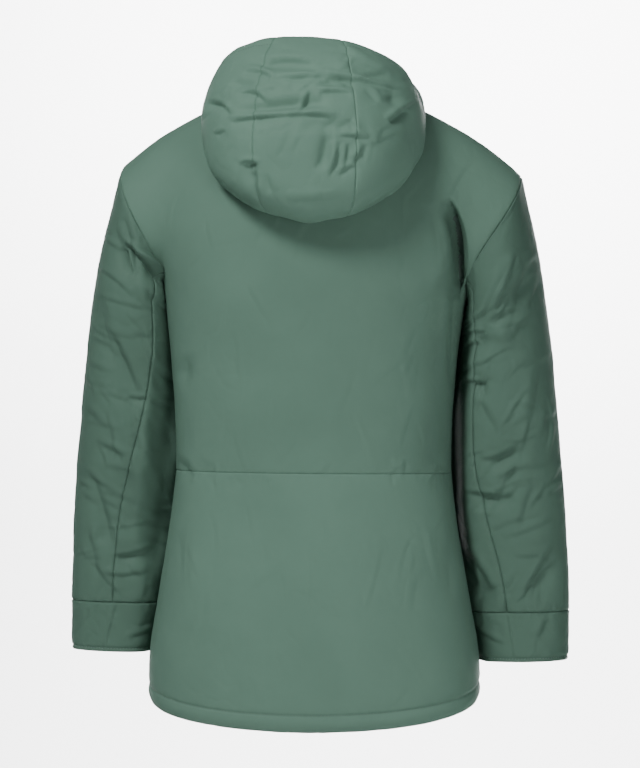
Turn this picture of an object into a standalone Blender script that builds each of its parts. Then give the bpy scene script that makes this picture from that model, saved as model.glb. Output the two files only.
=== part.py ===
"""A hooded winter parka, filled out as if worn, open and hollow inside.

Every cloth piece is a padded wall lofted through sections. The sizes below are millimetres; the meshes are
metres. +Z is up, -Y is the garment's back, +Y its front, +X the wearer's right. The origin is the centre of
the neck opening at the height of the seam at the nape, where the wearer's neck and shoulders carry the coat.
"""

import math

import bmesh
import bpy
import numpy as np
from mathutils import Matrix

MM = 0.001

# ---- driving sizes -------------------------------------------------------------------------------------
HEM_LEVEL = -790.0
PIT_LEVEL = -245.0
WAIST_LEVEL = -487.0
BACK_TAIL = 32.0
HEM_ROLL = 5.0
HEM_ROLL_HEIGHT = 14.0
FRONT_TAIL = 8.0
TAIL_FADE = 230.0
HEM_BAND = 23.0
SIDE_SQUARENESS = 0.8

NECK_HALF = 92.0
NECK_BACK = 72.0
NECK_FRONT = 62.0
NECK_SIDE_RISE = 24.0
NECK_FRONT_DROP = 62.0
NECK_SHARE = 0.4
NECK_ARC = 70.0
SHOULDER_HALF = 268.0
SHOULDER_Z = -85.0
SHOULDER_Y = 5.0
SHOULDER_CROWN = 8.5
ARMHOLE_BULGE = 72.0
ARMHOLE_POINT = 1.2
TILT = 0.028

ZIP_SHARE = 0.02
TAPE_INNER = 3.2
TAPE_OUTER = 12.5
TAPE_DEPTH = (-4.9, -3.7)
TAPE_BEND = 1.3
CHAIN_HALF = 2.9
CHAIN_DEPTH = (-4.4, -1.2)
ZIP_STARTS = 23.0
TAPE_TOP = 0.7
SLIDER_AT = 0.5
SLIDER_HALF_HEIGHT = 6.5
SLIDER_HALF_WIDTH = 5.0
SLIDER_NARROWING = 0.8
SLIDER_DEPTH = (-3.0, 3.4)
PIN_DEPTH = 6.6
PIN_RADIUS = 1.0
EAR = (2.7, 4.1)
EYE_RADII = (1.4, 2.6)
EYE_HALF_WIDTH = 2.2
TAB_LENGTH = 33.0
TAB_HALF_WIDTH = 3.4
TAB_HALF_THICKNESS = 0.8

LINING_DEPTH = 2.6
PUFF = 2.4
PUFF_REACH = 20.0
SEAM_GAP = 0.2
BODY_TO_SLEEVE = 6.0
PIT_EASE = 0.6
BODY_TO_HOOD = 9.0
COVER_REACH = 18.0

HOOD_SHIFT = -5.0
HOOD_ROLL = 0.045
HOOD_SIDE_LIFT = 0.022

RINGS = ("level", "half_width", "back", "front", "shift")
TORSO_RINGS = (
    (-790.0, 222.0, 149.0, 142.0, -9.0),
    (-729.0, 219.5, 149.0, 142.0, -9.5),
    (-661.0, 208.5, 146.0, 140.0, -10.0),
    (-594.0, 197.0, 140.0, 137.0, -10.0),
    (-526.0, 187.0, 133.0, 134.0, -10.0),
    (-487.0, 183.0, 131.0, 133.0, -10.0),
    (-440.0, 183.5, 132.0, 133.0, -10.0),
    (-380.0, 186.5, 135.0, 134.0, -9.5),
    (-310.0, 193.0, 140.0, 137.0, -9.0),
    (-245.0, 203.0, 143.0, 138.0, -7.0),
)

ARM_RINGS = ("outer_x", "outer_z", "inner_x", "inner_z", "mid_y", "half_depth")
SLEEVE_RINGS = (
    (280.0, -135.0, 194.0, -262.0, 4.0, 77.0),
    (295.0, -200.0, 190.0, -293.0, 5.0, 78.0),
    (307.0, -275.0, 183.0, -338.0, 7.0, 76.0),
    (317.0, -360.0, 176.0, -400.0, 10.0, 71.0),
    (325.0, -445.0, 171.0, -470.0, 13.0, 66.0),
    (331.0, -530.0, 178.0, -545.0, 16.0, 60.0),
    (335.0, -610.0, 192.0, -618.0, 19.0, 53.0),
    (337.0, -670.0, 203.0, -672.0, 21.0, 48.0),
    (337.0, -737.0, 209.0, -739.0, 22.0, 45.0),
)
CUFF_RING = 8
ARM_SWING = {"left": 8.0, "right": 24.0}
ARM_SWUNG_RING = 5
ARM_SHIFT = -5.0
ARM_LEVELLING = 0.25
SEAM_DRIFT = {"left": (52.0, 2.6, 4.2), "right": (32.0, 4.0, 3.6)}
SLEEVE_BACK_SEAM = 7
SLEEVE_FRONT_SEAM = 13
FRONT_SEAM_TURN = math.radians(260)

# one row for each section of the hood, from the nape (0 degrees) round to the zip (180 degrees), as distance
# from the neck's axis and height
HOOD_KNOTS = (0.0, 0.16, 0.33, 0.41, 0.54, 0.70, 0.83, 0.93, 1.0)
HOOD_SECTIONS = (
    # turn, under r z, low r z, out r z, mid r z, high r z, crown r z, top r z, edge r z
    (0.0, (120, -68), (162, -160), (197, -146), (216, -76), (203, 2), (170, 58), (132, 80), (110, 67)),
    (25.0, (118, -58), (162, -142), (196, -126), (212, -62), (198, 6), (166, 57), (130, 77), (111, 64)),
    (50.0, (114, -32), (154, -92), (176, -78), (183, -34), (174, 10), (156, 46), (136, 64), (118, 54)),
    (72.0, (106, 26), (137, 1), (145, 3), (144, 12), (138, 24), (129, 37), (118, 47), (108, 43)),
    (90.0, (104, 30), (127, 15), (133, 18), (133, 26), (128, 34), (122, 41), (114, 45), (106, 42)),
    (120.0, (98, 18), (109, 14), (116, 15), (119, 21), (117, 28), (112, 34), (106, 38), (100, 38)),
    (150.0, (75, -23), (82, -13), (86, -4), (89, 7), (90, 16), (88, 24), (85, 30), (81, 34)),
    (180.0, (65, -50), (69, -38), (72, -28), (75, -15), (76, -3), (75, 6), (73, 13), (71, 18)),
)
# where the hood bulges and dips on one side: turn and its spread, place and its spread; then across and up
HOOD_LOBE = ((66.0, 20.0, 0.36, 0.15), 12.0, 0.0)
HOOD_DIP = ((45.0, 18.0, 0.95, 0.22), 0.0, -7.5)
HOOD_EASINGS = 3

# soft folds, as seen from behind ("back") or from the front: ends and a middle point across and up, half
# width and depth, which is negative for a ridge
FOLD_COLUMNS = ("face", "x0", "z0", "xm", "zm", "x1", "z1", "width", "depth")
SLEEVE_FOLDS = (
    ("back", -259, -170, -252, -216, -214, -240, 11, 8),
    ("back", -240, -180, -238, -232, -222, -262, 13, -7),
    ("back", -282, -296, -256, -352, -243, -390, 15, 6),
    ("back", -262, -372, -250, -392, -226, -396, 13, 6),
    ("back", -252, -446, -236, -510, -219, -548, 13, -7),
    ("back", -268, -470, -252, -530, -240, -590, 16, 5),
    ("back", -312, -480, -290, -545, -275, -615, 18, 5),
    ("back", -286, -598, -264, -612, -230, -592, 12, 6),
    ("back", 266, -190, 244, -236, 230, -290, 13, -7),
    ("back", 278, -220, 260, -268, 236, -300, 14, 6),
    ("back", 268, -248, 255, -290, 232, -318, 12, -6),
    ("back", 196, -318, 212, -320, 230, -300, 12, 7),
    ("back", 196, -366, 212, -372, 232, -374, 12, 7),
    ("back", 218, -472, 244, -478, 276, -448, 13, 6),
    ("back", 194, -514, 222, -528, 268, -524, 12, 6),
    ("back", 308, -604, 298, -640, 278, -658, 13, 6),
    ("back", 196, -618, 210, -650, 240, -662, 14, 7),
    ("front", -250, -200, -235, -260, -215, -300, 16, 7),
    ("front", -300, -420, -262, -450, -215, -440, 15, 6),
    ("front", -215, -500, -245, -540, -290, -545, 15, 6),
    ("front", 252, -205, 238, -262, 218, -305, 16, 7),
    ("front", 305, -410, 264, -442, 216, -436, 15, 6),
    ("front", 214, -505, 250, -548, 298, -540, 15, 6),
)
BODY_FOLDS = (
    ("back", 170, -134, 197, -178, 186, -250, 11, 10),
    ("back", 152, -150, 166, -200, 166, -250, 15, -4),
    ("back", -176, -330, -172, -348, -182, -376, 14, 4),
    ("back", -192, -480, -150, -486, -120, -486, 12, 2),
    ("front", 120, -150, 140, -220, 176, -260, 18, 5),
    ("front", -120, -150, -140, -220, -176, -260, 18, 5),
)
HOOD_FOLDS = (
    ("back", -84, 44, -40, 38, 46, 36, 8, 6),
    ("back", 46, 36, 80, 30, 118, 12, 8, 5),
    ("back", -104, 12, -88, 18, -64, 8, 8, 5),
    ("back", 8, 14, 34, 19, 62, 17, 8, 6),
    ("back", -94, -24, -30, -12, 30, -12, 8, 8),
    ("back", -12, -42, 24, -38, 58, -46, 9, 6),
    ("back", 30, -44, 24, -70, 16, -104, 9, 6),
    ("back", -82, -78, -78, -98, -68, -120, 9, 6),
    ("back", -142, -8, -122, -4, -104, -10, 8, 5),
    ("back", 92, 2, 108, -6, 120, -6, 9, 5),
)

SHELL_COLOUR = (0.105, 0.192, 0.147, 1.0)
TAPE_COLOUR = (0.030, 0.055, 0.044, 1.0)
METAL_COLOUR = (0.24, 0.25, 0.25, 1.0)


# ---- small helpers -------------------------------------------------------------------------------------
def ease(t):
    """0 to 1, level at both ends."""
    t = np.clip(t, 0.0, 1.0)
    return t * t * (3 - 2 * t)


def curve(knots, values, at):
    """A smooth line through the values at the knots, read at the places asked for."""
    knots, values, at = np.asarray(knots, float), np.asarray(values, float), np.asarray(at, float)
    slope = np.gradient(values, knots, axis=0)
    i = np.clip(np.searchsorted(knots, at) - 1, 0, len(knots) - 2)
    span = knots[i + 1] - knots[i]
    t = (at - knots[i]) / span
    if values.ndim > 1:
        shape = t.shape + (1,) * (values.ndim - 1)
        t, span = t.reshape(shape), span.reshape(shape)
    return (
        (2 * t**3 - 3 * t**2 + 1) * values[i]
        + (t**3 - 2 * t**2 + t) * span * slope[i]
        + (3 * t**2 - 2 * t**3) * values[i + 1]
        + (t**3 - t**2) * span * slope[i + 1]
    )


def unit(vectors):
    return vectors / np.maximum(np.linalg.norm(vectors, axis=-1, keepdims=True), 1e-9)


def grid_normals(grid, closed, flip=1.0):
    """Normals at a grid's points, from the quads round each, weighed by their size."""
    if closed:
        grid = np.concatenate([grid, grid[:, :1]], axis=1)
    quads = np.cross(grid[1:, 1:] - grid[:-1, :-1], grid[1:, :-1] - grid[:-1, 1:])
    total = np.zeros(grid.shape)
    for r, c in ((0, 0), (0, 1), (1, 0), (1, 1)):
        total[r : r + len(quads), c : c + quads.shape[1]] += quads
    if closed:
        total[:, 0] += total[:, -1]
        total = total[:, :-1]
    return flip * unit(total)


# ---- the torso -----------------------------------------------------------------------------------------
def ring_value(name, level):
    """One column of the torso's rings, read at a level."""
    columns = np.array(TORSO_RINGS)
    return curve(columns[:, 0], columns[:, RINGS.index(name)], level)


def torso_level(u, level, face):
    """Points on the torso at each level, from one side seam (u = -1) to the other (u = 1)."""
    turn = u * math.pi / 2
    roll = HEM_ROLL * np.clip(1 - (level - HEM_LEVEL) / HEM_ROLL_HEIGHT, 0, 1) ** 2
    depth = ring_value("back" if face < 0 else "front", level) - roll
    x = ring_value("shift", level) + (ring_value("half_width", level) - roll) * np.sin(turn)
    y = face * depth * np.cos(turn) ** SIDE_SQUARENESS
    tail = (BACK_TAIL if face < 0 else FRONT_TAIL) * np.cos(turn)
    z = level - tail * ease((HEM_LEVEL + TAIL_FADE - level) / TAIL_FADE)
    return np.stack(np.broadcast_arrays(x, y, z), axis=-1)


def neckline(turn, face=None):
    """The neck seam, by the angle from the nape: 0 at the nape, 90 degrees at the side, 180 at the zip."""
    back = np.cos(turn) > 0 if face is None else np.broadcast_to(face < 0, np.shape(turn))
    y = np.where(back, -NECK_BACK, NECK_FRONT) * np.abs(np.cos(turn))
    rise = np.abs(np.sin(turn))
    z = np.where(
        back,
        NECK_SIDE_RISE * rise**2,
        NECK_SIDE_RISE - (NECK_SIDE_RISE + NECK_FRONT_DROP) * (1 - rise**1.5),
    )
    return NECK_HALF * np.sin(turn), y, z


def top_edge(u, face):
    """The shoulder seams and the neck seam between them."""
    side = np.sign(u)
    out = np.clip((np.abs(u) - NECK_SHARE) / (1 - NECK_SHARE), 0, 1)
    inner = np.clip(np.abs(u) / NECK_SHARE, 0, 1) * math.pi / 2
    neck_x, neck_y, neck_z = neckline(inner, face)
    on_neck = np.abs(u) < NECK_SHARE
    x = np.where(on_neck, neck_x, NECK_HALF + (SHOULDER_HALF - NECK_HALF) * out)
    y = np.where(on_neck, neck_y, SHOULDER_Y * out)
    slope = NECK_SIDE_RISE + (SHOULDER_Z - NECK_SIDE_RISE) * out
    z = np.where(on_neck, neck_z, slope + SHOULDER_CROWN * np.sin(math.pi * out**1.6))
    return np.stack([side * x, y, z], axis=-1)


def armhole(turn, side):
    """The armhole seam: 0 at the shoulder, 90 degrees at the back, 180 under the arm, 270 at the front."""
    pit_x = ring_value("half_width", PIT_LEVEL) + side * ring_value("shift", PIT_LEVEL)
    z = (SHOULDER_Z + PIT_LEVEL) / 2 + (SHOULDER_Z - PIT_LEVEL) / 2 * np.cos(turn)
    share = (z - PIT_LEVEL) / (SHOULDER_Z - PIT_LEVEL)
    x = pit_x + (SHOULDER_HALF - pit_x) * ease(share)
    bulge = np.sign(np.sin(turn)) * np.abs(np.sin(turn)) ** ARMHOLE_POINT
    y = SHOULDER_Y * share - ARMHOLE_BULGE * bulge
    return np.stack([side * x, y, z], axis=-1)


def torso_upper(u, rise, face):
    """Points above the armpit, from that level (rise 0) over to the shoulder and neck seams (rise 1)."""
    low = torso_level(u, np.full_like(u, PIT_LEVEL), face)
    high = top_edge(u, face)
    to_neck = ease(1 - np.abs(u) / NECK_SHARE)
    last = np.radians(90 - (90 - NECK_ARC) * to_neck)
    turn = rise * last
    back_off = (np.cos(turn) - np.cos(last)) / (1 - np.cos(last))
    climb = np.sin(turn) / np.sin(last)
    x = high[..., 0] + (low[..., 0] - high[..., 0]) * back_off
    y = high[..., 1] + (low[..., 1] - high[..., 1]) * back_off
    z = low[..., 2] + (high[..., 2] - low[..., 2]) * climb
    points = np.stack([x, y, z], axis=-1)
    # the outer columns are drawn on to the armhole
    side = np.where(u < 0, -1.0, 1.0)
    end_low = torso_level(side, np.full_like(u, PIT_LEVEL), face)
    end_high = top_edge(side, face)
    end_turn = rise * math.pi / 2
    plain = np.stack(
        [
            end_high[..., 0] + (end_low[..., 0] - end_high[..., 0]) * np.cos(end_turn),
            end_high[..., 1] + (end_low[..., 1] - end_high[..., 1]) * np.cos(end_turn),
            end_low[..., 2] + (end_high[..., 2] - end_low[..., 2]) * np.sin(end_turn),
        ],
        axis=-1,
    )
    seam = armhole(math.pi * (1 + face * rise), side)
    return points + (np.abs(u) ** 3.5)[..., None] * (seam - plain)


def torso(us, levels, rises, face):
    """A grid over one side of the torso: rows from the hem to the armpit, then to the shoulder."""
    parts = []
    if len(levels):
        u, level = np.meshgrid(us, levels)
        parts.append(torso_level(u, level, face))
    if len(rises):
        u, rise = np.meshgrid(us, rises)
        parts.append(torso_upper(u, rise, face))
    return tilted(np.concatenate(parts))


def tilted(points):
    """The right shoulder hangs a little lower than the left; the skirt hangs level."""
    points = points.copy()
    points[..., 2] -= TILT * points[..., 0] * ease((points[..., 2] + 600) / 350)
    return points


# ---- clearance -----------------------------------------------------------------------------------------
def torso_cover():
    """The torso's points and normals, sampled closely."""
    us = np.linspace(-1, 1, 61)
    levels = np.linspace(HEM_LEVEL, PIT_LEVEL, 40, endpoint=False)
    points, normals = [], []
    for face in (-1, 1):
        grid = torso(us, levels, np.linspace(0, 1, 24), face)
        points.append(grid.reshape(-1, 3))
        normals.append(grid_normals(grid, False, -float(face)).reshape(-1, 3))
    return np.concatenate(points), np.concatenate(normals)


def kept_clear(points, cover, clearance):
    """Moves points out along the normals of the torso below them until they stand clear of it."""
    cover_points, cover_normals = cover
    flat = points.reshape(-1, 3)
    wanted = np.broadcast_to(clearance, points.shape[:-1]).reshape(-1)
    moved = flat.copy()
    for i, point in enumerate(flat):
        near = np.argmin(((cover_points - point) ** 2).sum(axis=1))
        away = point - cover_points[near]
        height = away @ cover_normals[near]
        beside = np.linalg.norm(away - height * cover_normals[near])
        if height < wanted[i] and beside < COVER_REACH:
            moved[i] = point + cover_normals[near] * (wanted[i] - height)
    return moved.reshape(points.shape)


# ---- sleeves -------------------------------------------------------------------------------------------
def sleeve(turns, places, side, cover):
    """A grid round the sleeve: one row for each place, 0 at the armhole and CUFF_RING at the cuff's seam."""
    name = "left" if side < 0 else "right"
    drift, first, length = SEAM_DRIFT[name]
    seam = math.pi * SLEEVE_BACK_SEAM / 9
    reach = np.where(turns < seam, turns / seam, np.clip((FRONT_SEAM_TURN - turns) / (FRONT_SEAM_TURN - seam), 0, 1))
    rings = [armhole(turns, np.full_like(turns, side))]
    for n, row in enumerate(SLEEVE_RINGS):
        ring = dict(zip(ARM_RINGS, row))
        swing = ARM_SWING[name] * ease((n + 1) / ARM_SWUNG_RING)
        turned = turns - math.radians(drift) * ease((n + 1 - first) / length) * reach
        across, down = (ring["outer_x"] - ring["inner_x"]) / 2, (ring["outer_z"] - ring["inner_z"]) / 2
        x = (ring["outer_x"] + ring["inner_x"]) / 2 + across * np.cos(turned)
        z = (ring["outer_z"] + ring["inner_z"]) / 2 + down * np.cos(turned)
        y = ring["mid_y"] + swing - ring["half_depth"] * np.sin(turned)
        rings.append(np.stack([side * x + ARM_SHIFT * ease((n + 1) / 4), y, z], axis=-1))
    grid = tilted_arm(curve(np.arange(len(rings)), np.array(rings), places), places, side)
    under_arm = PIT_EASE * np.exp(-(((np.asarray(places) - 0.9) / 0.6) ** 2))
    clearance = (BODY_TO_SLEEVE + under_arm) * ease(np.asarray(places) / 0.9)
    clearance = clearance[:, None] * ease(0.4 - 1.2 * np.cos(turns))
    clearance = np.where(np.cos(turns) > 0.1, -1e3, clearance)
    below = np.asarray(places) > 0
    grid[below] = kept_clear(grid[below], cover, clearance[below])
    return grid


def tilted_arm(points, places, side):
    """The sleeve takes the shoulder's tilt along its whole length."""
    points = points.copy()
    at_seam = TILT * points[..., 0]
    level = 1 - ARM_LEVELLING * np.asarray(places)[:, None] / len(SLEEVE_RINGS)
    hanging = TILT * side * SHOULDER_HALF * level
    share = ease(np.asarray(places) / 2.0)[:, None]
    points[..., 2] -= at_seam * (1 - share) + hanging * share
    return points


# ---- the hood ------------------------------------------------------------------------------------------
def hood(turns, places, cover):
    """A grid over the hood as it hangs: columns round the neck, rows from the neck seam to the open edge."""
    stations = np.radians([row[0] for row in HOOD_SECTIONS])
    shape = np.array([row[1:] for row in HOOD_SECTIONS], float)
    read = curve(stations, shape, np.abs(turns))
    seam_x, seam_y, seam_z = neckline(np.abs(turns))
    first = np.stack([np.hypot(seam_x, seam_y), seam_z], axis=-1)[:, None, :]
    profile = np.concatenate([first, read], axis=1).transpose(1, 0, 2)
    rows = curve(HOOD_KNOTS, profile, places)
    heading = np.arctan2(seam_x, -seam_y)
    share = ease(np.asarray(places) / 0.3)[:, None]
    angle = heading + (np.abs(turns) - heading) * share
    side = np.where(turns < 0, -1.0, 1.0)
    for (turned, wide, place, long), across, up in (HOOD_LOBE, HOOD_DIP):
        lobe = np.exp(-(((np.degrees(turns) - turned) / wide) ** 2))
        lobe = lobe * np.exp(-(((np.asarray(places)[:, None] - place) / long) ** 2))
        rows += lobe[..., None] * np.array([across, up])
    x = side * rows[..., 0] * np.sin(angle)
    y = -rows[..., 0] * np.cos(angle)
    keep_front = ease((math.pi - np.abs(turns)) / math.radians(40))
    x = x + HOOD_SHIFT * share * keep_front
    roll = TILT + (HOOD_ROLL - TILT) * np.clip(np.cos(turns), 0, 1) - HOOD_SIDE_LIFT * np.abs(np.sin(turns))
    z = rows[..., 1] - roll * x * share * keep_front
    points = np.stack([x, y, z], axis=-1)
    points[..., 2] -= TILT * points[..., 0] * (1 - share)
    standing = ease((np.degrees(np.abs(turns)) - 120) / 25)
    clearance = BODY_TO_HOOD * np.clip(np.asarray(places[1:]) / 0.025, 0, 1)[:, None] * (1 - standing)
    clearance = np.where(standing > 0.98, -1e3, clearance)
    points[1:] = kept_clear(points[1:], cover, clearance)
    # at the sides the rows are spaced evenly and the roll over the shoulders is eased, so that the wall can turn
    at_side = ease((np.degrees(np.abs(turns)) - 45) / 20) * keep_front
    for c in np.flatnonzero(at_side > 0):
        steps = np.linalg.norm(np.diff(points[:, c], axis=0), axis=1)
        lengths = np.concatenate([[0.0], np.cumsum(steps)])
        even = np.linspace(0.0, lengths[-1], len(lengths))
        wanted = lengths + at_side[c] * (even - lengths)
        points[:, c] = np.stack([np.interp(wanted, lengths, points[:, c, k]) for k in range(3)], axis=1)
    for _ in range(HOOD_EASINGS):
        between = (points[:-2] + points[2:]) / 2
        points[1:-1] += 0.5 * at_side[:, None] * (between - points[1:-1])
    return points


# ---- folds ---------------------------------------------------------------------------------------------
def folded(grid, normals, folds):
    """Presses soft troughs, or raises ridges, along short curved lines seen from behind or from the front."""
    total = np.zeros(grid.shape[:-1])
    for row in folds:
        fold = dict(zip(FOLD_COLUMNS, row))
        facing = -normals[..., 1] if fold["face"] == "back" else normals[..., 1]
        start, middle, end = (np.array([fold["x" + k], fold["z" + k]], float) for k in "0m1")
        t = np.linspace(0, 1, 13)[:, None]
        line = (1 - t) ** 2 * start + 2 * t * (1 - t) * middle + t**2 * end
        away = grid[..., None, [0, 2]] - line
        distance = np.sqrt((away**2).sum(axis=-1))
        nearest = distance.argmin(axis=-1)
        taper = np.sin(math.pi * np.clip(nearest / 12, 0.12, 0.88))
        bump = np.exp(-((distance.min(axis=-1) / fold["width"]) ** 2))
        total -= fold["depth"] * bump * taper * ease(facing / 0.35)
    return grid + normals * total[..., None]


# ---- walls ---------------------------------------------------------------------------------------------
class Piece:
    """One cut piece: its grid of points, and which of its four edges are free rather than sewn."""

    def __init__(self, name, grid, closed=False, flip=1.0, free=(), folds=(), groove=()):
        self.name, self.closed, self.free, self.groove = name, closed, free, groove
        first = grid_normals(grid, closed, flip)
        keep = np.ones(grid.shape[:-1])
        keep[0], keep[-1] = float("bottom" in free), float("top" in free)
        if not closed:
            keep[:, 0], keep[:, -1] = keep[:, 0] * ("left" in free), keep[:, -1] * ("right" in free)
        moved = folded(grid, first, folds)
        self.grid = grid + (moved - grid) * np.where(keep > 0, 1.0, 0.0)[..., None]
        self.keep = keep
        self.normals = grid_normals(self.grid, closed, flip)


def seam_key(point):
    return tuple(np.round(point, 2))


def share_normals(pieces):
    """Where pieces meet on a smooth seam, their edges take one normal, so that the walls lie side by side."""
    meeting = {}
    for piece in pieces:
        rows, columns = piece.keep.shape
        for r in range(rows):
            for c in range(columns):
                on_edge = r in (0, rows - 1) or (not piece.closed and c in (0, columns - 1))
                if on_edge:
                    meeting.setdefault(seam_key(piece.grid[r, c]), []).append((piece, r, c))
    for places in meeting.values():
        groups = []
        for piece, r, c in places:
            normal = piece.normals[r, c]
            alike = [g for g in groups if g["sum"] @ normal > 0.2 * np.linalg.norm(g["sum"])]
            if not alike:
                groups.append({"sum": np.zeros(3), "places": []})
                alike = groups[-1:]
            alike[0]["sum"] = alike[0]["sum"] + normal
            alike[0]["places"].append((piece, r, c))
        for group in groups:
            for piece, r, c in group["places"]:
                piece.normals[r, c] = unit(group["sum"])


def from_seams(piece):
    """How far each point lies from the piece's nearest sewn edge."""
    grid = piece.grid
    edges = {"bottom": grid[0], "top": grid[-1], "left": grid[:, 0], "right": grid[:, -1]}
    far = np.full(grid.shape[:-1], 1e3)
    for name, edge in edges.items():
        if name in piece.free or (piece.closed and name in ("left", "right")):
            continue
        if piece.closed:
            edge = np.concatenate([edge, edge[:1]])
        step = np.diff(edge, axis=0)
        away = grid[..., None, :] - edge[:-1]
        along = (away * step).sum(axis=-1) / np.maximum((step * step).sum(axis=-1), 1e-9)
        away = away - np.clip(along, 0, 1)[..., None] * step
        far = np.minimum(far, np.linalg.norm(away, axis=-1).min(axis=-1))
    return far


def edges_drawn_in(piece):
    """The grid with its edges drawn in by the seam gap, along the cloth and into its thickness."""
    grid = piece.grid.copy()
    grid[0] += unit(piece.grid[1] - piece.grid[0]) * SEAM_GAP
    grid[-1] += unit(piece.grid[-2] - piece.grid[-1]) * SEAM_GAP
    rim = np.zeros(grid.shape[:-1])
    rim[0], rim[-1] = 1, 1
    if not piece.closed:
        grid[:, 0] += unit(piece.grid[:, 1] - piece.grid[:, 0]) * SEAM_GAP
        grid[:, -1] += unit(piece.grid[:, -2] - piece.grid[:, -1]) * SEAM_GAP
        rim[:, 0], rim[:, -1] = 1, 1
    return grid - piece.normals * (rim * SEAM_GAP)[..., None]


def wall(piece, material, collection):
    """The piece as a closed wall: padded outer points, plain inner points and a rim."""
    base = edges_drawn_in(piece)
    puff = PUFF * ease(from_seams(piece) / PUFF_REACH)
    for row in piece.groove:
        puff[row] = 0.0
    outer = base + piece.normals * puff[..., None]
    inner = base - piece.normals * LINING_DEPTH
    rows, columns = outer.shape[:2]
    count = rows * columns
    points = np.concatenate([outer.reshape(-1, 3), inner.reshape(-1, 3)]) * MM
    around = columns if piece.closed else columns - 1

    def at(r, c, layer):
        return layer * count + r * columns + c % columns

    faces = []
    for r in range(rows - 1):
        for c in range(around):
            faces.append([at(r, c, 0), at(r, c + 1, 0), at(r + 1, c + 1, 0), at(r + 1, c, 0)])
            faces.append([at(r, c, 1), at(r + 1, c, 1), at(r + 1, c + 1, 1), at(r, c + 1, 1)])
    for c in range(around):
        faces.append([at(0, c, 0), at(0, c, 1), at(0, c + 1, 1), at(0, c + 1, 0)])
        faces.append([at(rows - 1, c, 0), at(rows - 1, c + 1, 0), at(rows - 1, c + 1, 1), at(rows - 1, c, 1)])
    if not piece.closed:
        for r in range(rows - 1):
            faces.append([at(r, 0, 0), at(r + 1, 0, 0), at(r + 1, 0, 1), at(r, 0, 1)])
            last = columns - 1
            faces.append([at(r, last, 0), at(r, last, 1), at(r + 1, last, 1), at(r + 1, last, 0)])
    return mesh_object(piece.name, points, faces, material, collection)


def mesh_object(name, points, faces, material, collection):
    mesh = bpy.data.meshes.new(name)
    mesh.from_pydata([tuple(p) for p in points], [], faces)
    mesh.validate()
    made = bpy.data.objects.new(name, mesh)
    collection.objects.link(made)
    mesh.materials.append(material)
    facing_out(mesh)
    mesh.shade_smooth()
    mesh.set_sharp_from_angle(angle=math.radians(40))
    return made


def facing_out(mesh):
    """Turns the mesh's faces outwards."""
    made = bmesh.new()
    made.from_mesh(mesh)
    bmesh.ops.recalc_face_normals(made, faces=made.faces)
    made.to_mesh(mesh)
    made.free()


def cloth(name, colour, roughness, metallic=0.0):
    material = bpy.data.materials.new(name)
    material.use_nodes = True
    shader = material.node_tree.nodes["Principled BSDF"]
    shader.inputs["Base Color"].default_value = colour
    shader.inputs["Roughness"].default_value = roughness
    shader.inputs["Metallic"].default_value = metallic
    return material


# ---- the pieces ----------------------------------------------------------------------------------------
def torso_columns():
    """Column places for half of the torso: across the neck, then along the shoulder."""
    across_neck = np.linspace(0, NECK_SHARE, 6)
    shoulder = np.linspace(NECK_SHARE, 1, 8)[1:]
    return np.concatenate([across_neck, shoulder])


HEM_ROWS = (0.0, 11.0, HEM_BAND, 35.0)
LOWER_LEVELS = (-710.0, -660.0, -605.0, -545.0)
UPPER_LEVELS = (-430.0, -370.0, -310.0)
RISES = np.linspace(0, 1, 10)


def torso_pieces():
    half = torso_columns()
    back = np.concatenate([-half[:0:-1], half])
    front = np.concatenate([[ZIP_SHARE], half[1:]])
    skirt = [HEM_LEVEL + h for h in HEM_ROWS] + list(LOWER_LEVELS) + [WAIST_LEVEL]
    upper = [WAIST_LEVEL] + list(UPPER_LEVELS)
    pieces = [
        Piece("back_skirt", torso(back, skirt, [], -1), free=("bottom",), groove=(2,)),
        Piece("back_body", torso(back, upper, RISES, -1), folds=BODY_FOLDS),
    ]
    for side, name in ((-1, "front_left"), (1, "front_right")):
        columns = front if side > 0 else -front[::-1]
        free = ("bottom", "left") if side > 0 else ("bottom", "right")
        grid = torso(columns, skirt + list(UPPER_LEVELS), RISES, 1)
        pieces.append(Piece(name, grid, flip=-1.0, free=free, folds=BODY_FOLDS, groove=(2,)))
    return pieces


ARM_PLACES = np.concatenate([np.linspace(0, 2, 7), np.linspace(2, CUFF_RING, 19)[1:]])
CUFF_PLACES = np.array([8.0, 8.35, 8.7, 9.0])


def sleeve_turns():
    """Angles round the armhole that match the torso's rows, at the back and then at the front."""
    down = math.pi * RISES
    return np.concatenate([down, 2 * math.pi - down[-2:0:-1]])


def sleeve_pieces(cover):
    pieces = []
    turns = sleeve_turns()
    count = len(turns)
    for side, name in ((-1, "left"), (1, "right")):
        arm = sleeve(turns, ARM_PLACES, side, cover)
        cuff = sleeve(turns, CUFF_PLACES, side, cover)
        cuff[0] = arm[-1]
        flip = -1.0 if side < 0 else 1.0
        outer = [c % count for c in range(SLEEVE_FRONT_SEAM, SLEEVE_BACK_SEAM + count + 1)]
        under = list(range(SLEEVE_BACK_SEAM, SLEEVE_FRONT_SEAM + 1))
        pieces.append(Piece("sleeve_outer_" + name, arm[:, outer], flip=flip, folds=SLEEVE_FOLDS))
        pieces.append(Piece("sleeve_under_" + name, arm[:, under], flip=flip, folds=SLEEVE_FOLDS))
        pieces.append(Piece("cuff_" + name, cuff, closed=True, flip=flip, free=("top",)))
    return pieces


HOOD_ROWS = np.concatenate(
    [[0, 0.025, 0.055, 0.1, 0.16, 0.22, 0.28], np.linspace(0.33, 0.93, 18), np.linspace(0.93, 1.0, 3)[1:]]
)


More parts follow.
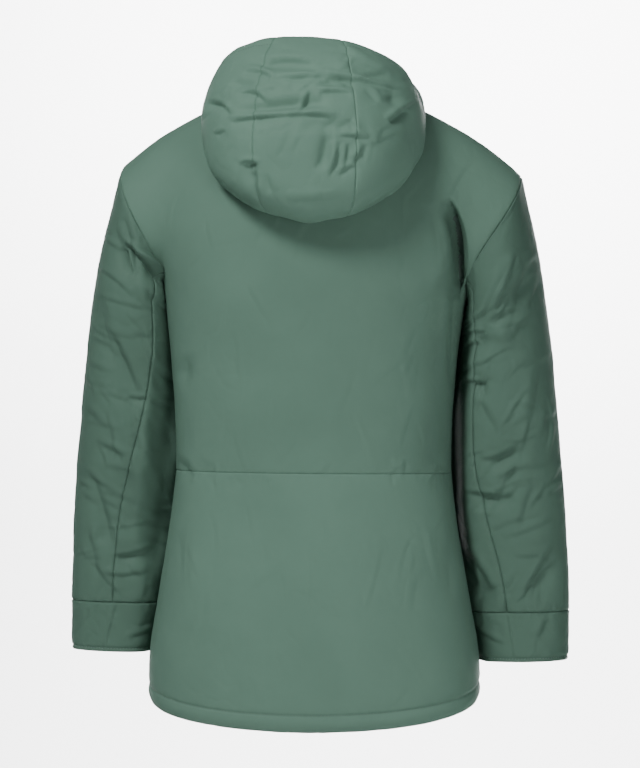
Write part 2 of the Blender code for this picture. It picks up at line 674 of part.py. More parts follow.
def hood_turns():
    """Angles round the neck: the torso's neck columns, with one more between each two."""
    neck = torso_columns()[:6] / NECK_SHARE * math.pi / 2
    zip_turn = ZIP_SHARE / NECK_SHARE * math.pi / 2
    front = math.pi - np.concatenate([neck[-2:0:-1], [zip_turn]])
    marks = np.concatenate([neck, front])
    between = (marks[1:] + marks[:-1]) / 2
    half = np.sort(np.concatenate([marks, between]))
    return np.concatenate([-half[:0:-1], half])


def hood_pieces(cover):
    turns = hood_turns()
    grid = hood(turns, HOOD_ROWS, cover)
    middle = len(turns) // 2
    grid[0, 1::2] = (grid[0, 0:-1:2] + grid[0, 2::2]) / 2
    seam = 2
    cuts = (
        ("hood_left", 0, middle - seam, ("top", "left")),
        ("hood_centre", middle - seam, middle + seam, ("top",)),
        ("hood_right", middle + seam, len(turns) - 1, ("top", "right")),
    )
    whole = Piece("hood", grid, free=("top", "left", "right"), folds=HOOD_FOLDS)
    pieces = []
    for name, start, end, free in cuts:
        piece = Piece(name, whole.grid[:, start : end + 1], free=free)
        pieces.append(piece)
    return pieces


# ---- the zip -------------------------------------------------------------------------------------------
def zip_path(cover):
    """The middle line of the fronts and of the hood's stand above them, from the hem upwards."""
    levels = [HEM_LEVEL + ZIP_STARTS] + [HEM_LEVEL + HEM_ROWS[-1]] + list(LOWER_LEVELS)
    levels += [WAIST_LEVEL] + list(UPPER_LEVELS)
    front = torso(np.array([0.0]), levels, RISES, 1)[:, 0]
    stand = hood(np.array([math.pi]), HOOD_ROWS[HOOD_ROWS <= TAPE_TOP], cover)[:, 0]
    return np.concatenate([front, stand[1:]])


def path_between(path, start, end):
    """The part of a path between two lengths along it, with the normals that face the front."""
    lengths = np.concatenate([[0], np.cumsum(np.linalg.norm(np.diff(path, axis=0), axis=1))])
    inside = [length for length in lengths if start + 0.5 < length < end - 0.5]
    at = np.array([start] + inside + [end])
    points = np.stack([np.interp(at, lengths, path[:, k]) for k in range(3)], axis=1)
    slopes = np.gradient(path, lengths, axis=0)
    along = unit(np.stack([np.interp(at, lengths, slopes[:, k]) for k in range(3)], axis=1))
    return points, unit(np.cross(along, np.array([1.0, 0.0, 0.0])))


def strip(name, points, normals, across, depths, bends, material, collection):
    """A bar along a path: its sides across, its faces by depth, and how far each side bends back."""
    (low, high), (first, last) = depths, bends
    corners = ((across[0], low - first), (across[1], low - last), (across[1], high - last), (across[0], high - first))
    rings = [points + normals * depth + np.array([x, 0.0, 0.0]) for x, depth in corners]
    rings = np.stack(rings, axis=1)
    return loft(name, rings, material, collection)


def loft(name, rings, material, collection):
    """A closed solid through rings of points, capped at both ends."""
    count, around = rings.shape[:2]
    faces = [list(range(around))[::-1], [(count - 1) * around + k for k in range(around)]]
    for r in range(count - 1):
        for k in range(around):
            nxt = (k + 1) % around
            faces.append([r * around + k, r * around + nxt, (r + 1) * around + nxt, (r + 1) * around + k])
    return mesh_object(name, rings.reshape(-1, 3) * MM, faces, material, collection)


def placed(name, shape, pivot, lean, material, collection):
    """A bmesh as an object, standing on a pivot and leaning towards the front by an angle."""
    for vertex in shape.verts:
        vertex.co = vertex.co * MM
    mesh = bpy.data.meshes.new(name)
    shape.to_mesh(mesh)
    shape.free()
    mesh.materials.append(material)
    made = bpy.data.objects.new(name, mesh)
    made.location = [value * MM for value in pivot]
    made.rotation_euler = (-lean, 0.0, 0.0)
    collection.objects.link(made)
    return made


def box(low, high, narrow=1.0):
    """A box between two corners, its lower end narrowed across by a factor."""
    shape = bmesh.new()
    bmesh.ops.create_cube(shape, size=1.0)
    for vertex in shape.verts:
        share = [vertex.co[k] + 0.5 for k in range(3)]
        vertex.co = [low[k] + (high[k] - low[k]) * share[k] for k in range(3)]
        vertex.co.x *= narrow if share[2] < 0.5 else 1.0
    return shape


def rod(radius, half_length, depth=0.0, segments=28):
    """A round rod lying across."""
    shape = bmesh.new()
    across = Matrix.Rotation(math.pi / 2, 4, "Y")
    bmesh.ops.create_cone(
        shape,
        cap_ends=True,
        segments=segments,
        radius1=radius,
        radius2=radius,
        depth=2 * half_length,
        matrix=Matrix.Translation((0.0, depth, 0.0)) @ across,
    )
    return shape


def rounded(shape, offset, chosen, segments=3):
    """Bevels the edges that a rule chooses."""
    edges = [edge for edge in shape.edges if chosen(edge)]
    bmesh.ops.bevel(shape, geom=edges, offset=offset, segments=segments, profile=0.5, affect="EDGES")
    return shape


def combine(target, others, operation):
    """Joins helpers to an object, or cuts them from it, by Booleans that stay on it."""
    for other in others:
        other.hide_render = True
        other.display_type = "WIRE"
        step = target.modifiers.new(other.name, "BOOLEAN")
        step.operation = operation
        step.solver = "EXACT"
        step.object = other


def slider_and_tab(path, slider_length, collection, helpers):
    """The slider with its ears and pin, and the pull tab that swings on the pin."""
    points, normals = path_between(path, slider_length - 1, slider_length + 1)
    centre, normal = points.mean(axis=0), unit(normals.mean(axis=0))
    lean = -math.asin(normal[2])
    metal = cloth("zip_slider_metal", METAL_COLOUR, 0.35, 1.0)
    back, front = SLIDER_DEPTH
    half, tall = SLIDER_HALF_WIDTH, SLIDER_HALF_HEIGHT
    body = box((-half, back, -tall), (half, front, tall), SLIDER_NARROWING)
    body = rounded(body, 1.0, lambda edge: all(v.co.y > front - 0.1 for v in edge.verts))
    slider = placed("zip_slider", body, centre, lean, metal, collection)
    parts = []
    for side, name in ((-1, "left"), (1, "right")):
        low, high = sorted((side * EAR[0], side * EAR[1]))
        ear = box((low, front - 1.2, -2.6), (high, PIN_DEPTH + 1.9, 2.6))
        ear = rounded(ear, 1.2, lambda edge: all(v.co.y > PIN_DEPTH for v in edge.verts) and along_x(edge))
        parts.append(placed("slider_ear_" + name, ear, centre, lean, metal, helpers))
    pin = rod(PIN_RADIUS, EAR[0] + 0.5, PIN_DEPTH, 20)
    parts.append(placed("slider_pin", pin, centre, lean, metal, helpers))
    combine(slider, parts, "UNION")

    metal = cloth("zip_pull_tab_metal", METAL_COLOUR, 0.35, 1.0)
    pivot = turned_about(centre, [[0.0, PIN_DEPTH, 0.0]], lean)[0]
    thick = TAB_HALF_THICKNESS
    tab = placed("zip_pull_tab", rod(EYE_RADII[1], EYE_HALF_WIDTH), pivot, 0.0, metal, collection)
    neck = box((-EYE_HALF_WIDTH + 0.1, -thick, -9.5), (EYE_HALF_WIDTH - 0.1, thick, -1.9))
    plate = box((-TAB_HALF_WIDTH, -thick - 0.1, -TAB_LENGTH), (TAB_HALF_WIDTH, thick + 0.1, -8.0))
    plate = rounded(plate, 2.2, lambda edge: abs(edge.verts[0].co.y - edge.verts[1].co.y) > thick)
    parts = [placed("tab_neck", neck, pivot, 0.0, metal, helpers)]
    parts.append(placed("tab_plate", plate, pivot, 0.0, metal, helpers))
    combine(tab, parts, "UNION")
    hole = rod(EYE_RADII[0], EYE_HALF_WIDTH + 2.0)
    combine(tab, [placed("tab_hole", hole, pivot, 0.0, metal, helpers)], "DIFFERENCE")


def along_x(edge):
    first, second = edge.verts
    return abs(first.co.x - second.co.x) > abs(first.co.z - second.co.z)


def turned_about(pivot, points, lean):
    """Points given as (across, depth, up) about a pivot, with up leaning by an angle towards the front."""
    points = np.asarray(points, float)
    depth = points[..., 1] * math.cos(lean) + points[..., 2] * math.sin(lean)
    up = points[..., 2] * math.cos(lean) - points[..., 1] * math.sin(lean)
    return np.stack([points[..., 0], depth, up], axis=-1) + pivot


def zip_pieces(cover, collection, helpers):
    path = zip_path(cover)
    total = np.linalg.norm(np.diff(path, axis=0), axis=1).sum()
    stand = hood(np.array([math.pi]), np.linspace(SLIDER_AT, TAPE_TOP, 12), cover)[:, 0]
    slider_length = total - np.linalg.norm(np.diff(stand, axis=0), axis=1).sum()
    points, normals = path_between(path, 0, total)
    for side, name in ((-1, "left"), (1, "right")):
        across = sorted((side * TAPE_INNER, side * TAPE_OUTER))
        bends = (TAPE_BEND, 0) if side < 0 else (0, TAPE_BEND)
        tape = cloth("zip_tape_" + name, TAPE_COLOUR, 0.8)
        strip("zip_tape_" + name, points, normals, across, TAPE_DEPTH, bends, tape, collection)
    points, normals = path_between(path, 0, slider_length - SLIDER_HALF_HEIGHT - 0.4)
    teeth = cloth("zip_teeth", TAPE_COLOUR, 0.45)
    strip("zip_chain", points, normals, (-CHAIN_HALF, CHAIN_HALF), CHAIN_DEPTH, (0, 0), teeth, collection)
    slider_and_tab(path, slider_length, collection, helpers)


def build():
    for old in list(bpy.data.objects):
        bpy.data.objects.remove(old)
    collection = bpy.data.collections.new("winter_parka")
    helpers = bpy.data.collections.new("helpers")
    bpy.context.scene.collection.children.link(collection)
    bpy.context.scene.collection.children.link(helpers)
    cover = torso_cover()
    pieces = torso_pieces() + sleeve_pieces(cover) + hood_pieces(cover)
    share_normals(pieces)
    for piece in pieces:
        wall(piece, cloth(piece.name + "_cloth", SHELL_COLOUR, 0.62), collection)
    zip_pieces(cover, collection, helpers)


build()
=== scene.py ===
"""The parka's visible cloth, zip and stage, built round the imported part.

Each panel is the part's own surface worked out again on a fine grid. It then takes the padding's swell, the
dive into every seam, the puckers of the sewing and the creases of the photograph. Sizes are millimetres until
a mesh is made. +Z is up, -Y is the garment's back, +Y its front, +X the wearer's right.
"""

import math

import bpy
import numpy as np
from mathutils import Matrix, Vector
from mathutils.kdtree import KDTree


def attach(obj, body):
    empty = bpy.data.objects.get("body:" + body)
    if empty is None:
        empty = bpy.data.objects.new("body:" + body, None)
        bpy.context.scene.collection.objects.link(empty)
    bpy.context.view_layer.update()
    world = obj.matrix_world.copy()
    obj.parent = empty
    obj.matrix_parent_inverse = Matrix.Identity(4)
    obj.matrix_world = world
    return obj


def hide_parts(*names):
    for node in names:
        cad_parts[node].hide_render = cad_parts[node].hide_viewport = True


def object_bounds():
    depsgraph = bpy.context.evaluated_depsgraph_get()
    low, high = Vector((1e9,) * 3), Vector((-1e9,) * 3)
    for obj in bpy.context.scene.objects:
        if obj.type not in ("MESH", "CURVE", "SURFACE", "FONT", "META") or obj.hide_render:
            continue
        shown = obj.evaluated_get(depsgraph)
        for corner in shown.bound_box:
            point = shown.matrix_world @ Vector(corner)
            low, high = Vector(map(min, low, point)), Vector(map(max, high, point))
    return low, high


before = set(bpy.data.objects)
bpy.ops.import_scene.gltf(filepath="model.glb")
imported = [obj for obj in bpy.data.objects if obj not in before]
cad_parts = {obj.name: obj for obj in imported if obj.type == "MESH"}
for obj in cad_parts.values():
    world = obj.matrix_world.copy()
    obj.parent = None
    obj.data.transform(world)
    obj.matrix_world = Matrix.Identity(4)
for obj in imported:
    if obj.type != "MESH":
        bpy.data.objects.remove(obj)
CAD_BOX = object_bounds()
MM = 0.001

# ---- the part's driving sizes ----
HEM_LEVEL = -790.0
PIT_LEVEL = -245.0
WAIST_LEVEL = -487.0
BACK_TAIL = 32.0
HEM_ROLL = 5.0
HEM_ROLL_HEIGHT = 14.0
FRONT_TAIL = 8.0
TAIL_FADE = 230.0
HEM_BAND = 23.0
SIDE_SQUARENESS = 0.8

NECK_HALF = 92.0
NECK_BACK = 72.0
NECK_FRONT = 62.0
NECK_SIDE_RISE = 24.0
NECK_FRONT_DROP = 62.0
NECK_SHARE = 0.4
NECK_ARC = 70.0
SHOULDER_HALF = 268.0
SHOULDER_Z = -85.0
SHOULDER_Y = 5.0
SHOULDER_CROWN = 8.5
ARMHOLE_BULGE = 72.0
ARMHOLE_POINT = 1.2
TILT = 0.028

ZIP_SHARE = 0.02
ZIP_STARTS = 23.0
TAPE_OUTER = 12.5
TAPE_WIDTH = 10.3
TAPE_DEPTH = (-4.9, -3.7)
SLIDER_AT = 0.5
SLIDER_HALF_HEIGHT = 6.5
TAPE_TOP = 0.7

LINING_DEPTH = 2.6
BODY_TO_SLEEVE = 6.0
PIT_EASE = 0.6
BODY_TO_HOOD = 9.0
COVER_REACH = 18.0

HOOD_SHIFT = -5.0
HOOD_ROLL = 0.045
HOOD_SIDE_LIFT = 0.022

TORSO_RINGS = (
    # level, half width, back depth, front depth, shift across
    (-790, 222, 149, 142, -9),
    (-729, 219.5, 149, 142, -9.5),
    (-661, 208.5, 146, 140, -10),
    (-594, 197, 140, 137, -10),
    (-526, 187, 133, 134, -10),
    (-487, 183, 131, 133, -10),
    (-440, 183.5, 132, 133, -10),
    (-380, 186.5, 135, 134, -9.5),
    (-310, 193, 140, 137, -9),
    (-245, 203, 143, 138, -7),
)
RINGS = ("level", "half_width", "back", "front", "shift")

ARM_RINGS = ("outer_x", "outer_z", "inner_x", "inner_z", "mid_y", "half_depth")
SLEEVE_RINGS = (
    (280, -135, 194, -262, 4, 77),
    (295, -200, 190, -293, 5, 78),
    (307, -275, 183, -338, 7, 76),
    (317, -360, 176, -400, 10, 71),
    (325, -445, 171, -470, 13, 66),
    (331, -530, 178, -545, 16, 60),
    (335, -610, 192, -618, 19, 53),
    (337, -670, 203, -672, 21, 48),
    (337, -737, 209, -739, 22, 45),
)
CUFF_RING = 8
ARM_SWING = {"left": 8.0, "right": 24.0}
ARM_SWUNG_RING = 5
ARM_SHIFT = -5.0
ARM_LEVELLING = 0.25
SEAM_DRIFT = {"left": (52.0, 2.6, 4.2), "right": (32.0, 4.0, 3.6)}
SLEEVE_BACK_SEAM = 7
SLEEVE_FRONT_SEAM = 13
FRONT_SEAM_TURN = math.radians(260)

HOOD_KNOTS = (0.0, 0.16, 0.33, 0.41, 0.54, 0.70, 0.83, 0.93, 1.0)
HOOD_SECTIONS = (
    # turn, under r z, low r z, out r z, mid r z, high r z, crown r z, top r z, edge r z
    (0.0, (120, -68), (162, -160), (197, -146), (216, -76), (203, 2), (170, 58), (132, 80), (110, 67)),
    (25.0, (118, -58), (162, -142), (196, -126), (212, -62), (198, 6), (166, 57), (130, 77), (111, 64)),
    (50.0, (114, -32), (154, -92), (176, -78), (183, -34), (174, 10), (156, 46), (136, 64), (118, 54)),
    (72.0, (106, 26), (137, 1), (145, 3), (144, 12), (138, 24), (129, 37), (118, 47), (108, 43)),
    (90.0, (104, 30), (127, 15), (133, 18), (133, 26), (128, 34), (122, 41), (114, 45), (106, 42)),
    (120.0, (98, 18), (109, 14), (116, 15), (119, 21), (117, 28), (112, 34), (106, 38), (100, 38)),
    (150.0, (75, -23), (82, -13), (86, -4), (89, 7), (90, 16), (88, 24), (85, 30), (81, 34)),
    (180.0, (65, -50), (69, -38), (72, -28), (75, -15), (76, -3), (75, 6), (73, 13), (71, 18)),
)
HOOD_LOBE = ((66.0, 20.0, 0.36, 0.15), 12.0, 0.0)
HOOD_DIP = ((45.0, 18.0, 0.95, 0.22), 0.0, -7.5)
HOOD_EASINGS = 3

# the part's soft folds: start, middle and end, each across and up, half width, depth (minus is a ridge),
# and the side where that is the front
SLEEVE_FOLDS = (
    (-259, -170, -252, -216, -214, -240, 11, 8),
    (-240, -180, -238, -232, -222, -262, 13, -7),
    (-282, -296, -256, -352, -243, -390, 15, 6),
    (-262, -372, -250, -392, -226, -396, 13, 6),
    (-252, -446, -236, -510, -219, -548, 13, -7),
    (-268, -470, -252, -530, -240, -590, 16, 5),
    (-312, -480, -290, -545, -275, -615, 18, 5),
    (-286, -598, -264, -612, -230, -592, 12, 6),
    (266, -190, 244, -236, 230, -290, 13, -7),
    (278, -220, 260, -268, 236, -300, 14, 6),
    (268, -248, 255, -290, 232, -318, 12, -6),
    (196, -318, 212, -320, 230, -300, 12, 7),
    (196, -366, 212, -372, 232, -374, 12, 7),
    (218, -472, 244, -478, 276, -448, 13, 6),
    (194, -514, 222, -528, 268, -524, 12, 6),
    (308, -604, 298, -640, 278, -658, 13, 6),
    (196, -618, 210, -650, 240, -662, 14, 7),
    (-250, -200, -235, -260, -215, -300, 16, 7, "front"),
    (-300, -420, -262, -450, -215, -440, 15, 6, "front"),
    (-215, -500, -245, -540, -290, -545, 15, 6, "front"),
    (252, -205, 238, -262, 218, -305, 16, 7, "front"),
    (305, -410, 264, -442, 216, -436, 15, 6, "front"),
    (214, -505, 250, -548, 298, -540, 15, 6, "front"),
)
BODY_FOLDS = (
    (170, -134, 197, -178, 186, -250, 11, 10),
    (152, -150, 166, -200, 166, -250, 15, -4),
    (-176, -330, -172, -348, -182, -376, 14, 4),
    (-192, -480, -150, -486, -120, -486, 12, 2),
    (120, -150, 140, -220, 176, -260, 18, 5, "front"),
    (-120, -150, -140, -220, -176, -260, 18, 5, "front"),
)
HOOD_FOLDS = (
    (-84, 44, -40, 38, 46, 36, 8, 6),
    (46, 36, 80, 30, 118, 12, 8, 5),
    (-104, 12, -88, 18, -64, 8, 8, 5),
    (8, 14, 34, 19, 62, 17, 8, 6),
    (-94, -24, -30, -12, 30, -12, 8, 8),
    (-12, -42, 24, -38, 58, -46, 9, 6),
    (30, -44, 24, -70, 16, -104, 9, 6),
    (-82, -78, -78, -98, -68, -120, 9, 6),
    (-142, -8, -122, -4, -104, -10, 8, 5),
    (92, 2, 108, -6, 120, -6, 9, 5),
)

# the deep fold of cloth beside the right armhole, pressed straight forwards
BODY_POCKETS = ((173, -124, 204, -176, 184, -262, 6, 32),)

# where the sleeves' inner sides fall away forwards, into shadow: height and place across of the edge
SUNK_LINES = {
    "left": ((-250, -216), (-320, -222), (-400, -232), (-470, -240), (-540, -248), (-620, -250)),
    "right": (
        *((-240, 200), (-300, 204), (-345, 204), (-400, 199)),
        *((-470, 197), (-530, 198), (-590, 205), (-650, 214)),
    ),
}
# forwards, inwards, over what width, and how far forward the middle of the side lies
SUNK_BY = {"left": (28.0, 5.0, 24.0, 20.0), "right": (60.0, 9.0, 9.0, 38.0)}
SUNK_REACH = 60.0
SUNK_ENDS = (-236.0, 45.0, -655.0, 90.0)

# columns by which the back seam moves at each of the sleeve's rings
SEAM_MOVES = {"left": (0, 9, 12, 11, 10, 9, 6, 3, 1.5), "right": (0, 3, 6, 9, 10, 8.5, 6, 4, 3)}

# the finer creases of the photograph, laid out as the folds are
SLEEVE_CREASES = (
    # the cuffs' own seams
    (-275, -664, -284, -700, -291, -733, 1.3, 1.6),
    (248, -664, 254, -700, 259, -740, 1.3, 1.6),
    (-262, -184, -232, -204, -206, -242, 3.6, 13.2),
    (-262, -188, -256, -206, -246, -226, 2.9, 8.4),
    (-258, -146, -246, -190, -238, -240, 4.3, 3.6),
    (-270, -160, -262, -200, -252, -236, 5.0, 2.4),
    (-279, -298, -262, -340, -239, -389, 4.3, 3.6),
    (-259, -389, -244, -394, -226, -390, 2.9, 3.4),
    (-250, -420, -240, -450, -236, -480, 3.6, 2.4),
    (-248, -445, -235, -505, -216, -545, 4.3, 3.1),
    (-303, -447, -280, -462, -255, -469, 3.6, 2.9),
    (-312, -485, -292, -540, -276, -606, 4.3, 2.6),
    (-320, -400, -300, -424, -280, -432, 4.3, 1.9),
    (-283, -600, -262, -612, -228, -590, 2.9, 3.6),
    (-292, -628, -262, -634, -232, -624, 3.6, 2.4),
    (-261, -714, -244, -712, -227, -704, 2.9, 1.9),
    (-318, -560, -306, -590, -300, -640, 5.0, 2.2),
    (-296, -250, -284, -300, -276, -352, 5.8, 2.2),
    (262, -196, 250, -244, 230, -294, 3.6, 4.1),
    (252, -206, 236, -250, 214, -296, 3.6, 3.6),
    (278, -210, 270, -256, 252, -300, 5.0, 2.9),
    (257, -254, 248, -276, 232, -294, 2.9, 3.4),
    (196, -318, 204, -320, 214, -316, 2.9, 4.1),
    (192, -365, 206, -372, 224, -372, 2.9, 4.1),
    (212, -392, 226, -412, 238, -440, 4.3, 2.4),
    (214, -471, 244, -478, 273, -446, 3.2, 3.8),
    (190, -514, 222, -526, 262, -520, 3.2, 3.8),
    (245, -508, 254, -494, 266, -476, 3.6, 3.1),
    (290, -500, 276, -530, 270, -566, 5.0, 2.4),
    (307, -598, 292, -630, 273, -652, 3.6, 3.1),
    (194, -590, 210, -612, 232, -658, 4.3, 3.1),
    (193, -686, 216, -712, 247, -722, 2.9, 2.4),
    (303, -685, 300, -700, 291, -714, 3.6, 2.2),
    (300, -330, 288, -380, 284, -430, 5.8, 2.2),
    (-262, -190, -240, -240, -212, -262, 4.3, 3.8, "front"),
    (-300, -418, -262, -446, -222, -440, 3.6, 3.6, "front"),
    (-222, -498, -248, -530, -292, -538, 3.6, 3.6, "front"),
    (-300, -600, -270, -616, -232, -604, 3.6, 2.9, "front"),
    (262, -196, 240, -246, 212, -268, 4.3, 3.8, "front"),
    (304, -408, 264, -438, 222, -432, 3.6, 3.6, "front"),
    (222, -504, 250, -540, 296, -534, 3.6, 3.6, "front"),
    (298, -606, 268, -622, 232, -612, 3.6, 2.9, "front"),
)
BODY_CREASES = (
    (158, -150, 168, -190, 166, -230, 8, 2.0),
    (150, -130, 160, -170, 158, -230, 9, 2.4),
    (182, -240, 176, -300, 178, -380, 5, 2.6),
    (-172, -330, -168, -352, -180, -378, 6, 2.0),
    (-190, -470, -172, -480, -160, -500, 5, 2.0),
    (164, -470, 170, -482, 162, -506, 5, 1.6),
    (168, -300, 176, -330, 172, -372, 6, 1.6),
    (-186, -560, -176, -600, -178, -640, 8, 1.6),
    (176, -580, 170, -620, 178, -660, 8, 1.6),
    (108, -140, 138, -214, 178, -252, 7, 3.0, "front"),
    (-108, -140, -138, -214, -178, -252, 7, 3.0, "front"),
    (60, -420, 100, -440, 150, -430, 9, 2.0, "front"),
    (-70, -400, -110, -424, -150, -410, 9, 2.0, "front"),
    (50, -600, 90, -612, 140, -600, 9, 1.8, "front"),
)
HOOD_CREASES = (
    (-54, 43, -27, 47, 6, 39, 3.0, 2.6),
    (-87, 30, -61, 33, -48, 18, 3.0, 4.6),
    (-49, 19, -9, 19, 21, 21, 3.0, 3.8),
    (21, 21, 59, 21, 114, 8, 2.8, 4.4),
    (36, 45, 73, 42, 100, 24, 3.2, 2.6),
    (-93, -1, -74, 10, -53, -14, 3.0, 4.8),
    (12, -2, 30, 5, 55, -2, 2.8, 4.6),
    (4, 4, -2, -14, -11, -25, 2.6, 4.4),
    (-100, -37, -78, -30, -8, -31, 3.0, 6.0),
    (-28, -31, 11, -27, 32, -34, 3.0, 5.2),
    (-139, -6, -118, -5, -100, -27, 3.0, 3.6),
    (-122, -51, -116, -48, -108, -43, 2.6, 3.0),
    (51, -32, 57, -43, 55, -54, 2.8, 3.0),
    (36, -57, 59, -54, 74, -62, 3.0, 4.0),
    (40, -60, 43, -83, 26, -110, 3.6, 5.0),
    (51, -62, 53, -79, 45, -100, 3.0, 3.4),
    (72, -62, 70, -81, 55, -90, 3.2, 3.6),
    (38, -108, 49, -96, 63, -93, 3.0, 2.8),
    (-88, -93, -76, -87, -63, -93, 3.0, 4.6),
    (-72, -97, -72, -116, -66, -135, 4.0, 4.2),
    (-53, -100, -51, -117, -47, -126, 3.6, 2.4),
    (100, -37, 112, -27, 124, -14, 3.4, 6.0),
    (69, 7, 80, 0, 86, -13, 3.0, 2.2),
    (-32, -136, 9, -142, 43, -132, 5.0, 1.8),
)

# colours, and the shell's colour made lighter or darker on each kind of panel: painted light on the hood and
# back skirt, painted shade on the sleeves and cuffs
SHELL = (0.102, 0.182, 0.139)
PAINTED_LIGHT_TONES = {"shell": 0.98, "back_skirt": 1.05, "sleeve": 0.76, "cuff": 0.76, "hood": 1.16}
SHELL_INSIDE = (0.052, 0.092, 0.073)
ZIP_CLOTH = (0.030, 0.055, 0.044)
ZIP_PLASTIC = (0.035, 0.062, 0.050)
ZIP_METAL = (0.24, 0.25, 0.25)


# ---- small helpers ----
def ease(t):
    """0 to 1, level at both ends."""
    t = np.clip(t, 0.0, 1.0)
    return t * t * (3 - 2 * t)


def curve(knots, values, at):
    """A smooth line through the values at the knots, read at the places asked for."""
    knots, values, at = np.asarray(knots, float), np.asarray(values, float), np.asarray(at, float)
    slope = np.gradient(values, knots, axis=0)
    i = np.clip(np.searchsorted(knots, at) - 1, 0, len(knots) - 2)
    span = knots[i + 1] - knots[i]
    t = (at - knots[i]) / span
    if values.ndim > 1:
        shape = t.shape + (1,) * (values.ndim - 1)
        t, span = t.reshape(shape), span.reshape(shape)
    return (
        (2 * t**3 - 3 * t**2 + 1) * values[i]
        + (t**3 - 2 * t**2 + t) * span * slope[i]
        + (3 * t**2 - 2 * t**3) * values[i + 1]
        + (t**3 - t**2) * span * slope[i + 1]
    )


def unit(vectors):
    return vectors / np.maximum(np.linalg.norm(vectors, axis=-1, keepdims=True), 1e-9)


def lengths_along(line):
    """How far along a line each of its points lies."""
    return np.concatenate([[0.0], np.cumsum(np.linalg.norm(np.diff(line, axis=0), axis=1))])


def read_at(values, lengths, at):
    """Three columns of values, read at lengths along a line."""
    return np.stack([np.interp(at, lengths, values[:, k]) for k in range(3)], axis=-1)


def tent(places, peak, end):
    """Rises from 0 to 1 at the peak and falls to 0 at the end."""
    return np.where(places < peak, places / peak, np.clip((end - places) / (end - peak), 0, 1))


def grid_normals(grid, closed=False, flip=1.0):
    """Normals at a grid's points, from the quads round each, weighed by their size."""
    if closed:
        grid = np.concatenate([grid, grid[:, :1]], axis=1)
    quads = np.cross(grid[1:, 1:] - grid[:-1, :-1], grid[1:, :-1] - grid[:-1, 1:])
    total = np.zeros(grid.shape)
    for r, c in ((0, 0), (0, 1), (1, 0), (1, 1)):
        total[r : r + len(quads), c : c + quads.shape[1]] += quads
    if closed:
        total[:, 0] += total[:, -1]
        total = total[:, :-1]
    return flip * unit(total)


def split(marks, parts):
    """The marks, with each space between two of them cut into equal parts."""
    marks = np.asarray(marks, float)
    pieces = [np.linspace(a, b, parts, endpoint=False) for a, b in zip(marks[:-1], marks[1:])]
    return np.concatenate(pieces + [marks[-1:]])


def finer(grid, down, across, closed=False):
    """A coarse grid drawn out smoothly on a finer one."""
    around = grid.shape[1]
    if closed:
        grid = np.concatenate([grid[:, -3:], grid, grid[:, :4]], axis=1)
    rows, columns = np.arange(grid.shape[0]), np.arange(grid.shape[1])
    fine = curve(rows, grid, split(rows, down))
    fine = curve(columns, fine.transpose(1, 0, 2), split(columns, across)).transpose(1, 0, 2)
    if closed:
        fine = fine[:, 3 * across : (3 + around) * across]
    return fine


def noise(points, size, seed):
    """Smooth noise between about -1 and 1. The size of its lumps may differ by axis."""
    random = np.random.default_rng(seed)
    slopes = unit(random.normal(size=(24, 24, 24, 3)))
    at = points / np.asarray(size, float) + 100.0
    cell = np.floor(at).astype(int)
    inside = at - cell
    share = inside**3 * (inside * (inside * 6 - 15) + 10)
    total = np.zeros(points.shape[:-1])
    for corner in np.ndindex(2, 2, 2):
        corner = np.array(corner)
        weight = np.where(corner == 1, share, 1 - share).prod(axis=-1)
        index = (cell + corner) % 24
        slope = slopes[index[..., 0], index[..., 1], index[..., 2]]
        total += weight * (slope * (inside - corner)).sum(axis=-1)
    return 1.6 * total


# ---- the torso ----
def ring_value(name, level):
    columns = np.array(TORSO_RINGS)
    return curve(columns[:, 0], columns[:, RINGS.index(name)], level)


def torso_level(u, level, face):
    """Points on the torso at each level, from one side seam (u = -1) to the other (u = 1)."""
    turn = u * math.pi / 2
    roll = HEM_ROLL * np.clip(1 - (level - HEM_LEVEL) / HEM_ROLL_HEIGHT, 0, 1) ** 2
    depth = ring_value("back" if face < 0 else "front", level) - roll
    x = ring_value("shift", level) + (ring_value("half_width", level) - roll) * np.sin(turn)
    y = face * depth * np.maximum(np.cos(turn), 0.0) ** SIDE_SQUARENESS
    tail = (BACK_TAIL if face < 0 else FRONT_TAIL) * np.cos(turn)
    z = level - tail * ease((HEM_LEVEL + TAIL_FADE - level) / TAIL_FADE)
    return np.stack(np.broadcast_arrays(x, y, z), axis=-1)


def neckline(turn, face=None):
    """The neck seam, by the angle from the nape: 0 at the nape, 90 degrees at the side, 180 at the zip."""
    back = np.cos(turn) > 0 if face is None else np.broadcast_to(face < 0, np.shape(turn))
    y = np.where(back, -NECK_BACK, NECK_FRONT) * np.abs(np.cos(turn))
    rise = np.abs(np.sin(turn))
    front = NECK_SIDE_RISE - (NECK_SIDE_RISE + NECK_FRONT_DROP) * (1 - rise**1.5)
    z = np.where(back, NECK_SIDE_RISE * rise**2, front)
    return NECK_HALF * np.sin(turn), y, z


def top_edge(u, face):
    """The shoulder seams and the neck seam between them."""
    side = np.sign(u)
    out = np.clip((np.abs(u) - NECK_SHARE) / (1 - NECK_SHARE), 0, 1)
    inner = np.clip(np.abs(u) / NECK_SHARE, 0, 1) * math.pi / 2
    neck_x, neck_y, neck_z = neckline(inner, face)
    on_neck = np.abs(u) < NECK_SHARE
    x = np.where(on_neck, neck_x, NECK_HALF + (SHOULDER_HALF - NECK_HALF) * out)
    y = np.where(on_neck, neck_y, SHOULDER_Y * out)
    slope = NECK_SIDE_RISE + (SHOULDER_Z - NECK_SIDE_RISE) * out
    z = np.where(on_neck, neck_z, slope + SHOULDER_CROWN * np.sin(math.pi * out**1.6))
    return np.stack([side * x, y, z], axis=-1)


